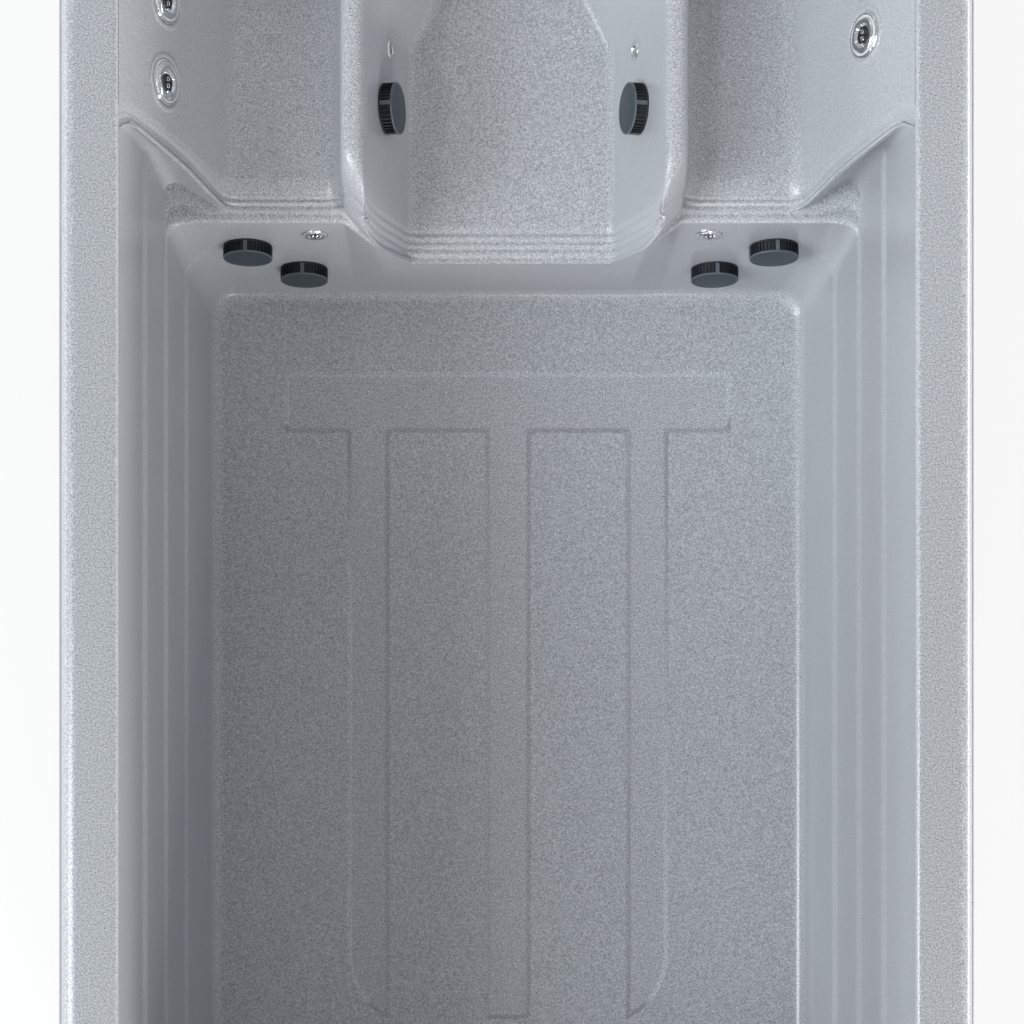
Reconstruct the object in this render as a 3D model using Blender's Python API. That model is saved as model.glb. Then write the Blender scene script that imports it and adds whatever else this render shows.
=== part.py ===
"""A swim spa: a moulded acrylic shell with seats at one end, on a steel frame in a panelled cabinet.

Units are metres and +Z is up.  The origin is on the ground under the middle of the spa.
+Y points to the seats, -Y to the swim jets, and +X to the right of a swimmer who faces the seats.
Depths are measured down from the top of the rim.
"""

import math

import bmesh
import bpy
from mathutils import Matrix, Vector

# Overall sizes
SPA_WIDTH = 2.28
SPA_LENGTH = 4.03
SPA_HEIGHT = 1.30
CLEARANCE = 0.0003
OVERRUN = 0.020
MOUTH_OVERRUN = 0.030
BASIN_OVERRUN = 0.040
BORE_OVERRUN = 0.005
THROAT_OVERRUN = 0.040

# Rim and lip
SHELL_WALL = 0.008
TRIM_PROUD = 0.012
RIM_WIDTH = 0.146
RIM_CORNER = 0.100
LIP_CORNER = 0.090
LIP_ROLL_WIDTH = 0.046
LIP_ROLL_DROP = 0.036
LIP_SKIRT = 0.020
INNER_ROLL = 0.014
BLEND_SINK = 0.002
OUTER_SINK = 0.004
WELL_TOP_INSET = 0.001

# Basin walls, with the ledges as shares of the depth
FLOOR_HEIGHT = 0.180
WALL_DRAFT_SHARE = 0.045
LEDGE_DEPTH_SHARES = (0.25, 0.4464, 0.66)
LEDGE_STEP = 0.009
LEDGE_DROP = 0.005
END_DRAFT_SHARE = 0.048
FLOOR_FILLET = 0.038
BASIN_CORNER = 0.110
CORNER_CUT = 0.050
FRONT_CORNER = 0.075

# Seat front, with the wings that rise to the rim; reaches are measured from the seat end
FRONT_PATH_REACH = 0.795
FRONT_LEDGE = 0.031
FLOOR_FORWARD = 0.118
PLATFORM_FORWARD = 0.102
PLATFORM_CORNER_SHARE = 0.3758
SEAT_CORNER_SHARE = 0.4715
WING_START_SHARE = 0.779
WING_END_REACH = 0.657
WING_BLEND_SHARES = (1.0, 0.25, 0.0)
PATH_CORNER = 0.040

# Seats, dividers and platform
SEAT_DEPTH_SHARE = 0.4241
SEAT_TILT = 0.040
SEAT_INNER_SHARE = 0.4807
SEAT_OUTER_SHARE = 0.7892
SEAT_INNER_RADIUS = 0.045
SEAT_OUTER_RADIUS = 0.060
DIVIDER_DEPTH_SHARE = 0.2321
DIVIDER_FRONT_DROP = 0.150
DIVIDER_INNER_SHARE = 0.4043
DIVIDER_OUTER_SHARE = 0.4603
DIVIDER_RADIUS = 0.026
PLATFORM_DEPTH_SHARE = 0.6071
PLATFORM_HALF_SHARE = 0.2933
PLATFORM_BACK_HALF_SHARE = 0.1527
PLATFORM_RADIUS = 0.030
SEAT_RUN = 0.765
BACKREST_RUN = 0.160
PLATFORM_END_RUN = 0.130
NARROWING_START = 0.490
FRONT_FADE = 0.350
FRONT_EASE = 0.136
DIVIDER_FOLLOW_SHARE = 0.48
WELL_TOP_DEPTH = 0.008
WELL_END_DEPTH = 0.012
FRONT_REACH = 0.100

# Nosing along the seat front
NOSING_WIDTH = 0.085
NOSING_FALL = 0.019
NOSING_RIDGES = 3
NOSING_LAP = 0.004
GROOVE_DEPTH = 0.004
GROOVE_WIDTH = 0.005

# Raised bands on the floor
BAND_HEIGHT = 0.010
BAND_EDGE = 0.008
BAR_LENGTH_SHARE = 0.6904
BAR_FRONT_REACH = 1.175
BAR_WIDTH = 0.165
SIDE_BAND_INNER_SHARE = 0.3737
SIDE_BAND_OUTER_SHARE = 0.4939
MIDDLE_BAND_SHARE = 0.0647
BAND_END_REACH = 0.582
BAND_END_RADIUS = 0.220
BAND_CORNER = 0.012

# Suction covers
COVER_RADIUS = 0.070
COVER_PROUD = 0.040
COVER_FLANGE = 0.006
COVER_SLOT_DEPTH = 0.006
COVER_RIBS = 10
COVER_CROWN = 0.006
COVER_BEVEL = 0.003
COVER_STEM_RADIUS = 0.030
COVER_STEM_LENGTH = 0.045
OUTER_COVER_X_SHARE = 0.7587
OUTER_COVER_DEPTH_SHARE = 0.625
INNER_COVER_X_SHARE = 0.6141
INNER_COVER_DEPTH_SHARE = 0.8036
FOOT_COVER_RUN = 0.266
FOOT_COVER_DEPTH_SHARE = 0.4107

# Seat jets, places by side
SEAT_JET_RADIUS = 0.059
SEAT_JET_DEPTH_SHARE = 0.1786
LEFT_SEAT_JET_RUNS = (0.266, 0.477)
RIGHT_SEAT_JET_RUNS = (0.387, 0.538)
FRONT_JET_RADIUS = 0.0375
FRONT_JET_X_SHARE = 0.557
FRONT_JET_DEPTH_SHARE = 0.5357
JET_FLANGE = 0.006
JET_BODY_SHARE = 0.76
JET_FACE_SHARE = 0.80
JET_NUT_SHARE = 0.94
JET_PORT_SHARE = 0.34
JET_LENGTH_SHARE = 1.35
JET_POCKET_SHARE = 0.34
JET_CONE_SHARE = 0.48
JET_FACE_RISE = 0.003
JET_LOBES = 5
JET_LOBE_SHARE = 0.06
JET_GAP = 0.0006
JET_NUT_THICKNESS = 0.010

# Footwell returns
RETURN_RADIUS = 0.028
RETURN_RUN = 0.438
RETURN_DEPTH_SHARE = 0.4464
RETURN_RISE = 0.006
RETURN_LIP_SHARE = 0.48

# Swim jets in the swim end wall
SWIM_JET_COUNT = 3
SWIM_JET_PITCH_SHARE = 0.4277
SWIM_JET_DEPTH_SHARE = 0.3482
SWIM_FLANGE_RADIUS = 0.090
SWIM_FLANGE = 0.010
SWIM_BALL_RADIUS = 0.054
SWIM_BALL_GAP = 0.0012
SWIM_BALL_SINK = 0.016
SWIM_THROAT_RADIUS = 0.049
SWIM_BODY_RADIUS = 0.068
SWIM_BODY_LENGTH = 0.080
SWIM_BORE_RADIUS = 0.022
SWIM_BORE_DEPTH = 0.060
SWIM_MOUTH_RADIUS = 0.035
SWIM_NUT_RADIUS = 0.082
SWIM_NUT_THICKNESS = 0.012
SWIM_PIVOT_RADIUS = 0.004
SWIM_PIVOT_SINK = 0.006
SWIM_PIVOT_PROUD = 0.0012
BALL_BACK_SHARE = 0.80
BALL_LIP_ANGLE = math.radians(30)

# Underwater light and floor drain
LIGHT_RADIUS = 0.062
LIGHT_DEPTH_SHARE = 0.5536
LIGHT_DOME = 0.012
LIGHT_CROWN_SHARE = 0.48
LIGHT_BODY_RADIUS = 0.045
LIGHT_BODY_LENGTH = 0.050
DRAIN_RADIUS = 0.055
DRAIN_RISE = 0.010
DRAIN_CROWN_SHARE = 0.48
DRAIN_REACH = 0.377
DRAIN_STEM_RADIUS = 0.028
DRAIN_STEM_LENGTH = 0.040

# Skimmer in the swim end wall
SKIMMER_X_SHARE = 0.6517
SKIMMER_DEPTH_SHARE = 0.1339
SKIMMER_WIDTH = 0.260
SKIMMER_HEIGHT = 0.130
SKIMMER_FLANGE = 0.020
SKIMMER_PLATE = 0.006
SKIMMER_WALL = 0.005
SKIMMER_THROAT = 0.062
WEIR_THICKNESS = 0.006
WEIR_SETBACK = 0.008
WEIR_GAP = 0.003
WEIR_HEIGHT_SHARE = 0.72
WEIR_CORNER = 0.002
WEIR_PIN_RADIUS = 0.0025

# Control panel and air knobs on the seat end rim
PANEL_LENGTH = 0.190
PANEL_WIDTH = 0.062
PANEL_HEIGHT = 0.008
PANEL_CORNER = 0.014
BUTTON_COUNT = 3
BUTTON_RADIUS = 0.008
BUTTON_PITCH = 0.030
BUTTON_RISE = 0.003
BUTTON_TRAVEL = 0.0015
BUTTON_GAP = 0.0006
BUTTON_SEAT = 0.002
BUTTON_X = 0.040
KNOB_X_SHARE = 0.4277
KNOB_RADIUS = 0.026
KNOB_HEIGHT = 0.020
KNOB_STEM_RADIUS = 0.008
KNOB_LOBES = 6
KNOB_LOBE_SHARE = 0.07
KNOB_EDGE = 0.003

# Steel frame and floor cradle
TUBE = 0.040
LONG_BAY_COUNT = 4
END_BAY_COUNT = 2
ACROSS_BAY_COUNT = 3
ALONG_BAY_COUNT = 3
CRADLE_INSET = 0.060

# Base pan, cabinet panels, corner posts and lip trim
PAN_FLOOR = 0.012
PAN_INSET = 0.010
PANEL_THICKNESS = 0.020
PANEL_JOINT = 0.004
PLANK_COUNT = 8
PLANK_GROOVE = 0.006
POST_LEG = 0.120
TRIM_HEIGHT = 0.012
TRIM_EDGE = 0.003

# Equipment under the seats
PUMP_MOTOR_RADIUS = 0.080
PUMP_MOTOR_LENGTH = 0.280
PUMP_WET_RADIUS = 0.105
PUMP_WET_LENGTH = 0.090
PUMP_FOOT = 0.110
PUMP_AXIS_HEIGHT = 0.150
PUMP_END = 0.050
PUMP_NOSE_SHARE = 0.48
PUMP_FOOT_SHARE = 0.48
PUMP_X_SHARE = 0.6314
PUMP_REACH = 0.357
PUMP_OUTLET_RADIUS = 0.036
PUMP_OUTLET_HEIGHT = 0.130
PIPE_RADIUS = 0.030
PIPE_SIDE_INSET = 0.0964
PIPE_HEIGHT = 0.420
PIPE_BEND_SHARE = 0.444
HEATER_RADIUS = 0.032
HEATER_LENGTH = 0.380
HEATER_UNION_RADIUS = 0.046
HEATER_UNION_LENGTH = 0.045
HEATER_REACH = 0.617
HEATER_HEIGHT = 0.100
HEATER_SADDLE = 0.040
SADDLE_WIDTH_SHARE = 0.48
BOX_WIDTH = 0.360
BOX_DEPTH = 0.140
BOX_HEIGHT = 0.300
BOX_REACH = 0.157
BOX_EDGE = 0.012
MANIFOLD_DEPTH_SHARE = 0.5714
MANIFOLD_SETBACK = 0.009
RISER_RADIUS = 0.022
RISER_GAP = 0.0026
RISER_INSET = 0.0264

# Values worked out from the sizes above
RIM_TOP = SPA_HEIGHT
LIP_HALF_X = SPA_WIDTH / 2 - TRIM_PROUD
LIP_HALF_Y = SPA_LENGTH / 2 - TRIM_PROUD
RIM_HALF_X = LIP_HALF_X - RIM_WIDTH
RIM_HALF_Y = LIP_HALF_Y - RIM_WIDTH
BASIN_DEPTH = SPA_HEIGHT - FLOOR_HEIGHT
FLOOR_Z = FLOOR_HEIGHT
LEDGE_DEPTHS = tuple(share * BASIN_DEPTH for share in LEDGE_DEPTH_SHARES)
LIP_BOTTOM_Z = RIM_TOP - LIP_ROLL_DROP - LIP_SKIRT
CABINET_TOP_Z = LIP_BOTTOM_Z - TRIM_HEIGHT - 2 * CLEARANCE
CABINET_HALF_X = LIP_HALF_X - LIP_ROLL_WIDTH - CLEARANCE + PANEL_THICKNESS
CABINET_HALF_Y = LIP_HALF_Y - LIP_ROLL_WIDTH - CLEARANCE + PANEL_THICKNESS
FRAME_HALF_X = CABINET_HALF_X - PANEL_THICKNESS - CLEARANCE
FRAME_HALF_Y = CABINET_HALF_Y - PANEL_THICKNESS - CLEARANCE
FRAME_TOP_Z = RIM_TOP - SHELL_WALL - CLEARANCE
PIPE_SIDE_X = FRAME_HALF_X - PIPE_SIDE_INSET
PAN_TOP_Z = PAN_FLOOR + CLEARANCE

# Places worked out as shares of the width and depth, or as reaches from an end
PLATFORM_CORNER_X = RIM_HALF_X * PLATFORM_CORNER_SHARE
SEAT_CORNER_X = RIM_HALF_X * SEAT_CORNER_SHARE
WING_START_X = RIM_HALF_X * WING_START_SHARE
SEAT_INNER_X = RIM_HALF_X * SEAT_INNER_SHARE
SEAT_OUTER_X = RIM_HALF_X * SEAT_OUTER_SHARE
DIVIDER_INNER_X = RIM_HALF_X * DIVIDER_INNER_SHARE
DIVIDER_OUTER_X = RIM_HALF_X * DIVIDER_OUTER_SHARE
PLATFORM_HALF = RIM_HALF_X * PLATFORM_HALF_SHARE
PLATFORM_BACK_HALF = RIM_HALF_X * PLATFORM_BACK_HALF_SHARE
BAR_HALF_LENGTH = RIM_HALF_X * BAR_LENGTH_SHARE
SIDE_BAND_INNER = RIM_HALF_X * SIDE_BAND_INNER_SHARE
SIDE_BAND_OUTER = RIM_HALF_X * SIDE_BAND_OUTER_SHARE
MIDDLE_BAND_HALF = RIM_HALF_X * MIDDLE_BAND_SHARE
OUTER_COVER_X = RIM_HALF_X * OUTER_COVER_X_SHARE
INNER_COVER_X = RIM_HALF_X * INNER_COVER_X_SHARE
FRONT_JET_X = RIM_HALF_X * FRONT_JET_X_SHARE
SWIM_JET_PITCH = RIM_HALF_X * SWIM_JET_PITCH_SHARE
SKIMMER_X = RIM_HALF_X * SKIMMER_X_SHARE
KNOB_X = RIM_HALF_X * KNOB_X_SHARE
PUMP_X = RIM_HALF_X * PUMP_X_SHARE
SEAT_DEPTH = BASIN_DEPTH * SEAT_DEPTH_SHARE
DIVIDER_DEPTH = BASIN_DEPTH * DIVIDER_DEPTH_SHARE
PLATFORM_DEPTH = BASIN_DEPTH * PLATFORM_DEPTH_SHARE
OUTER_COVER_DEPTH = BASIN_DEPTH * OUTER_COVER_DEPTH_SHARE
INNER_COVER_DEPTH = BASIN_DEPTH * INNER_COVER_DEPTH_SHARE
FOOT_COVER_DEPTH = BASIN_DEPTH * FOOT_COVER_DEPTH_SHARE
SEAT_JET_DEPTH = BASIN_DEPTH * SEAT_JET_DEPTH_SHARE
FRONT_JET_DEPTH = BASIN_DEPTH * FRONT_JET_DEPTH_SHARE
RETURN_DEPTH = BASIN_DEPTH * RETURN_DEPTH_SHARE
SWIM_JET_DEPTH = BASIN_DEPTH * SWIM_JET_DEPTH_SHARE
LIGHT_DEPTH = BASIN_DEPTH * LIGHT_DEPTH_SHARE
MANIFOLD_DEPTH = BASIN_DEPTH * MANIFOLD_DEPTH_SHARE
SKIMMER_DEPTH = BASIN_DEPTH * SKIMMER_DEPTH_SHARE
FRONT_PATH_Y = RIM_HALF_Y - FRONT_PATH_REACH
FRONT_FLOOR_Y = FRONT_PATH_Y - FLOOR_FORWARD
PLATFORM_FRONT_Y = FRONT_PATH_Y - PLATFORM_FORWARD
WING_END_Y = RIM_HALF_Y - WING_END_REACH
BAR_FRONT_Y = RIM_HALF_Y - BAR_FRONT_REACH
BAR_BACK_Y = BAR_FRONT_Y - BAR_WIDTH
FOOT_COVER_Y = FRONT_PATH_Y + FOOT_COVER_RUN
RETURN_Y = FRONT_PATH_Y + RETURN_RUN
PUMP_Y = RIM_HALF_Y - PUMP_REACH
HEATER_Y = RIM_HALF_Y - HEATER_REACH
BOX_Y = RIM_HALF_Y - BOX_REACH
LEFT_SEAT_JET_YS = tuple(FRONT_PATH_Y + run for run in LEFT_SEAT_JET_RUNS)
RIGHT_SEAT_JET_YS = tuple(FRONT_PATH_Y + run for run in RIGHT_SEAT_JET_RUNS)
BAND_END_Y = BAND_END_REACH - RIM_HALF_Y
DRAIN_Y = DRAIN_REACH - RIM_HALF_Y
MANIFOLD_Y = -RIM_HALF_Y - MANIFOLD_SETBACK

# Counts and shares that shape every piece
ROUND_SIDES = 14
SMALL_SIDES = 12
BORE_SIDES = 12
PIPE_SIDES = 8
BALL_STEPS = 5
EDGE_SHARE = 0.48
MITER_SHARE = 0.48
STEEP_SHARE = 0.48
SHARP_ANGLE = math.radians(32)


def clear_scene():
    for old in list(bpy.data.objects):
        bpy.data.objects.remove(old, do_unlink=True)


# Materials
def principled(name, colour, roughness, metallic=0.0):
    material = bpy.data.materials.new(name)
    material.use_nodes = True
    shader = material.node_tree.nodes["Principled BSDF"]
    shader.inputs["Base Color"].default_value = (*colour, 1.0)
    shader.inputs["Roughness"].default_value = roughness
    shader.inputs["Metallic"].default_value = metallic
    return material


def make_materials():
    return {
        "acrylic": principled("grey_acrylic", (0.42, 0.44, 0.47), 0.22),
        "dark_plastic": principled("dark_plastic", (0.055, 0.065, 0.080), 0.45),
        "black_trim": principled("black_trim", (0.020, 0.022, 0.026), 0.50),
        "chrome": principled("chrome", (0.82, 0.83, 0.85), 0.08, 1.0),
        "white_plastic": principled("white_plastic", (0.72, 0.73, 0.74), 0.35),
        "cabinet": principled("cabinet_planks", (0.085, 0.088, 0.095), 0.60),
        "steel": principled("galvanised_steel", (0.52, 0.54, 0.56), 0.42, 1.0),
        "pan": principled("base_plastic", (0.030, 0.031, 0.034), 0.65),
        "lens": principled("light_lens", (0.60, 0.68, 0.74), 0.10),
        "motor": principled("motor_paint", (0.045, 0.050, 0.060), 0.40),
        "pipe": principled("white_pipe", (0.78, 0.78, 0.76), 0.40),
        "button": principled("button_rubber", (0.16, 0.17, 0.19), 0.55),
    }


# Helpers for outlines, lofts and turned pieces
def mix(start, end, share):
    return start + (end - start) * share


def around(radius, sides):
    """Corner radius of a polygon that clears a circle of this radius."""
    return radius / math.cos(math.pi / sides)


def corner_outline(corners, grow=0.0):
    """Closed outline through (u, v, radius, steps) corners, moved outward by grow, corners as true arcs."""
    count = len(corners)
    flat = [Vector(corner[:2]) for corner in corners]
    area = sum(flat[i - 1].x * flat[i].y - flat[i].x * flat[i - 1].y for i in range(count))
    side = 1 if area > 0 else -1
    moved = []
    for i in range(count):
        arriving = (flat[i] - flat[i - 1]).normalized()
        leaving = (flat[(i + 1) % count] - flat[i]).normalized()
        first = Vector((arriving.y, -arriving.x)) * side
        second = Vector((leaving.y, -leaving.x)) * side
        middle = (first + second).normalized()
        moved.append(flat[i] + middle * (grow / max(middle.dot(first), MITER_SHARE)))
    outline = []
    for i in range(count):
        radius, steps = corners[i][2:]
        if steps == 0:
            outline.append(moved[i])
            continue
        arriving = moved[i] - moved[i - 1]
        leaving = moved[(i + 1) % count] - moved[i]
        turn = arriving.x * leaving.y - arriving.y * leaving.x
        half = arriving.angle(leaving) / 2
        wanted = max(radius + (grow if turn * side > 0 else -grow), 0.0) * math.tan(half)
        room = EDGE_SHARE * min(arriving.length, leaving.length)
        reach = min(max(wanted, BLEND_SINK), room)
        begin = moved[i] - arriving.normalized() * reach
        finish = moved[i] + leaving.normalized() * reach
        weight = math.cos(half)
        for step in range(steps + 1):
            t = step / steps
            a = (1 - t) ** 2
            b = 2 * t * (1 - t) * weight
            c = t ** 2
            outline.append((begin * a + moved[i] * b + finish * c) / (a + b + c))
    return outline


def build_object(name, bm, material, smooth=True):
    bmesh.ops.recalc_face_normals(bm, faces=bm.faces)
    mesh = bpy.data.meshes.new(name)
    bm.to_mesh(mesh)
    bm.free()
    if smooth:
        mesh.shade_smooth()
        mesh.set_sharp_from_angle(angle=SHARP_ANGLE)
    part = bpy.data.objects.new(name, mesh)
    bpy.context.scene.collection.objects.link(part)
    part.data.materials.append(material)
    return part


def loft(name, rings, material, closed=False, smooth=True):
    """Solid through rings of equal point counts, capped at both ends or closed on itself."""
    bm = bmesh.new()
    levels = [[bm.verts.new(point) for point in ring] for ring in rings]
    count = len(rings[0])
    pairs = list(zip(levels, levels[1:]))
    if closed:
        pairs.append((levels[-1], levels[0]))
    for lower, upper in pairs:
        for i in range(count):
            j = (i + 1) % count
            bm.faces.new((lower[i], lower[j], upper[j], upper[i]))
    if not closed:
        bm.faces.new(reversed(levels[0]))
        bm.faces.new(levels[-1])
    return build_object(name, bm, material, smooth)


def turned(name, profile, material, sides=ROUND_SIDES, lobes=0, lobe_share=0.0, lobed=()):
    """Solid turned about Z from (radius, height) pairs; the rings listed in lobed carry a finger grip."""
    rings = []
    for index, (radius, height) in enumerate(profile):
        ring = []
        for i in range(sides):
            angle = math.tau * i / sides
            wave = lobe_share * math.cos(lobes * angle) if index in lobed else 0.0
            reach = radius * (1 + wave)
            ring.append(Vector((reach * math.cos(angle), reach * math.sin(angle), height)))
        rings.append(ring)
    return loft(name, rings, material)


def prism(name, corners, low, high, material, smooth=False):
    """Upright solid over a cornered outline, from the height low to the height high."""
    outline = corner_outline(corners)
    rings = [[(p.x, p.y, low) for p in outline], [(p.x, p.y, high) for p in outline]]
    return loft(name, rings, material, smooth=smooth)


def box_corners(x_low, x_high, y_low, y_high, radius=0.0, steps=0):
    return [
        (x_low, y_low, radius, steps),
        (x_high, y_low, radius, steps),
        (x_high, y_high, radius, steps),
        (x_low, y_high, radius, steps),
    ]


def box(name, low, high, material):
    return prism(name, box_corners(low[0], high[0], low[1], high[1]), low[2], high[2], material)


def lattice(name, us, vs, low, high, place, material):
    """Welded grid: bars fill each even interval of us and of vs, from low to high along the third axis."""
    bm = bmesh.new()
    heights = (low, high)
    found = {}

    def corner(i, j, level):
        key = (i, j, level)
        if key not in found:
            found[key] = bm.verts.new(place(us[i], vs[j], heights[level]))
        return found[key]

    def solid(i, j):
        inside = 0 <= i < len(us) - 1 and 0 <= j < len(vs) - 1
        return inside and (i % 2 == 0 or j % 2 == 0)

    for i in range(len(us) - 1):
        for j in range(len(vs) - 1):
            if not solid(i, j):
                continue
            square = ((i, j), (i + 1, j), (i + 1, j + 1), (i, j + 1))
            bm.faces.new([corner(a, b, 1) for a, b in square])
            bm.faces.new([corner(a, b, 0) for a, b in reversed(square)])
            beyond = ((i, j - 1), (i + 1, j), (i, j + 1), (i - 1, j))
            for k, neighbour in enumerate(beyond):
                if not solid(*neighbour):
                    a = square[k]
                    b = square[(k + 1) % 4]
                    bm.faces.new((corner(*a, 0), corner(*b, 0), corner(*b, 1), corner(*a, 1)))
    return build_object(name, bm, material, smooth=False)


def bar_edges(start, end, bays, bar):
    """Edges of bays + 1 bars spread evenly from start to end."""
    edges = []
    for i in range(bays + 1):
        at = mix(start, end - bar, i / bays)
        edges += [at, at + bar]
    return edges


def combine(base, tool, operation):
    """Boolean of base with tool, kept as base's own mesh; the tool is used up."""
    modifier = base.modifiers.new(operation.lower(), "BOOLEAN")
    modifier.solver = "EXACT"
    modifier.operation = operation
    modifier.object = tool
    bpy.context.view_layer.update()
    graph = bpy.context.evaluated_depsgraph_get()
    mesh = bpy.data.meshes.new_from_object(base.evaluated_get(graph))
    base.modifiers.clear()
    base.data = mesh
    bpy.data.objects.remove(tool, do_unlink=True)
    return base


def tube(name, points, radius, material, sides=SMALL_SIDES):
    """Round pipe along points, square to its first and last stretch."""
    path = [Vector(point) for point in points]
    frame_up = Vector((0, 0, 1))
    rings = []
    side = None
    for before, here, after in zip(path[:1] + path[:-1], path, path[1:] + path[-1:]):
        along = (after - before).normalized()
        if side is None:
            steep = abs(along.dot(frame_up)) > STEEP_SHARE
            side = along.orthogonal() if steep else along.cross(frame_up)
        side = (side - along * side.dot(along)).normalized()
        other = along.cross(side)
        stretch = 1.0
        if before is not here and after is not here:
            stretch = 1 / math.cos((here - before).angle(after - here) / 2)
        bend = ((after - here).normalized() - (here - before).normalized()) if stretch > 1.0 else Vector()
        ring = []
        for k in range(sides):
            angle = math.tau * k / sides
            arm = (side * math.cos(angle) + other * math.sin(angle)) * radius
            if bend.length > 0:
                outward = bend.normalized()
                arm += outward * arm.dot(outward) * (stretch - 1)
            ring.append(here + arm)
        rings.append(ring)
    return loft(name, rings, material)


def bent_route(points, bend, steps=3):
    """Route through points with each inner corner rounded by an arc of radius bend."""
    path = [Vector(point) for point in points]
    route = [path[0]]
    for before, here, after in zip(path, path[1:], path[2:]):
        arriving = (here - before).normalized()
        leaving = (after - here).normalized()
        half = arriving.angle(leaving) / 2
        reach = bend * math.tan(half)
        weight = math.cos(half)
        for step in range(steps + 1):
            t = step / steps
            a = (1 - t) ** 2
            b = 2 * t * (1 - t) * weight
            c = t ** 2
            begin = here - arriving * reach
            finish = here + leaving * reach
            route.append((begin * a + here * b + finish * c) / (a + b + c))
    route.append(path[-1])
    return route


# Shapes of the shell's hollows
def wall_inset(depth):
    """How far the side wall has come in from the rim's inner edge at a depth, ledges included."""
    steps = sum(1 for ledge in LEDGE_DEPTHS if depth > ledge)
    return depth * WALL_DRAFT_SHARE + steps * LEDGE_STEP


def end_inset(depth):
    return wall_inset(depth) + depth * END_DRAFT_SHARE


def front_y(depth):
    """Y of the wall under the seats' front edge."""
    if depth <= LEDGE_DEPTHS[1]:
        return FRONT_PATH_Y
    share = (depth - LEDGE_DEPTHS[1]) / (BASIN_DEPTH - LEDGE_DEPTHS[1])
    return mix(FRONT_PATH_Y - FRONT_LEDGE, FRONT_FLOOR_Y, share)


def platform_front_y(depth):
    share = max(0.0, depth - LEDGE_DEPTHS[1]) / (BASIN_DEPTH - LEDGE_DEPTHS[1])
    return mix(PLATFORM_FRONT_Y, FRONT_FLOOR_Y, share)


def wing_share(depth):
    """1 where the corner follows the wing, 0 where it is a plain round corner."""
    top, middle, low = LEDGE_DEPTHS
    if depth <= top:
        return WING_BLEND_SHARES[0]
    if depth <= middle:
        return mix(WING_BLEND_SHARES[0], WING_BLEND_SHARES[1], (depth - top) / (middle - top))
    if depth <= low:
        return mix(WING_BLEND_SHARES[1], WING_BLEND_SHARES[2], (depth - middle) / (low - middle))
    return WING_BLEND_SHARES[2]


def basin_ring(depth, inset, grow):
    """Plan outline of the basin at a depth, as points at that height."""
    half = RIM_HALF_X - inset
    near = RIM_HALF_Y - inset - depth * END_DRAFT_SHARE
    fall = inset - wall_inset(depth)
    front = front_y(depth) - fall
    platform = platform_front_y(depth) - fall
    wing = wing_share(depth)
    wing_x = mix(half - CORNER_CUT, WING_START_X, wing)
    wing_y = mix(front - CORNER_CUT, WING_END_Y, wing)
    right = [
        (half, -near, BASIN_CORNER, 5),
        (half, wing_y, FRONT_CORNER, 3),
        (wing_x, front, FRONT_CORNER, 3),
        (SEAT_CORNER_X, front, PATH_CORNER, 2),
        (PLATFORM_CORNER_X, platform, PATH_CORNER, 2),
    ]
    if grow > 0:
        right = [(x, y, radius, (steps + 1) // 2) for x, y, radius, steps in right]
    left = [(-x, y, radius, steps) for x, y, radius, steps in reversed(right)]
    z = RIM_TOP - depth - (grow if depth >= BASIN_DEPTH else 0.0)
    return [(p.x, p.y, z) for p in corner_outline(right + left, grow)]


def basin_core(grow):
    """The swim basin's hollow, or with grow its outside."""
    top = WELL_TOP_DEPTH if grow == 0 else OUTER_SINK
    rings = []
    if grow == 0:
        flat = basin_ring(WELL_TOP_DEPTH, WELL_TOP_INSET, grow)
        rings.append([(x, y, RIM_TOP + BASIN_OVERRUN) for x, y, z in flat])
    rings.append(basin_ring(top, WELL_TOP_INSET, grow))
    for ledge in LEDGE_DEPTHS:
        rings.append(basin_ring(ledge, wall_inset(ledge), grow))
        low = ledge + LEDGE_DROP
        rings.append(basin_ring(low, wall_inset(low), grow))
    start = BASIN_DEPTH - FLOOR_FILLET
    for step in range(4):
        angle = math.pi / 2 * step / 3
        depth = start + FLOOR_FILLET * math.sin(angle)
        inset = wall_inset(start) + FLOOR_FILLET * (1 - math.cos(angle))
        rings.append(basin_ring(min(depth, BASIN_DEPTH), inset, grow))
    return loft("basin", rings, None)


def front_path(x):
    """Y of the nosing's lower edge at a place across the spa."""
    reach = abs(x)
    if reach <= PLATFORM_CORNER_X:
        return PLATFORM_FRONT_Y
    if reach <= SEAT_CORNER_X:
        share = (reach - PLATFORM_CORNER_X) / (SEAT_CORNER_X - PLATFORM_CORNER_X)
        return mix(PLATFORM_FRONT_Y, FRONT_PATH_Y, share)
    if reach <= WING_START_X:
        return FRONT_PATH_Y
    share = (reach - WING_START_X) / (RIM_HALF_X - WING_START_X)
    return mix(FRONT_PATH_Y, WING_END_Y, share)


def rise_share(run, length):
    """Share of full depth left at run metres behind the front, where the back takes the last length."""
    t = min(max((run - SEAT_RUN + length) / length, 0.0), 1.0)
    return (math.cos(t * math.pi / 2) + 1 - t) / 2


def side_half(y):
    """Half width of the rim's inner edge, which is rounded at the end."""
    top = RIM_HALF_X - WELL_TOP_INSET
    beyond = max(0.0, y - (RIM_HALF_Y - RIM_CORNER))
    return top - RIM_CORNER + math.sqrt(max(RIM_CORNER ** 2 - beyond ** 2, 0.0))


def well_side_slope():
    """Run over rise of the seats' outer walls, the same all along."""
    return (RIM_HALF_X - WELL_TOP_INSET - SEAT_OUTER_X) / (SEAT_DEPTH - WELL_TOP_DEPTH)


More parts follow.
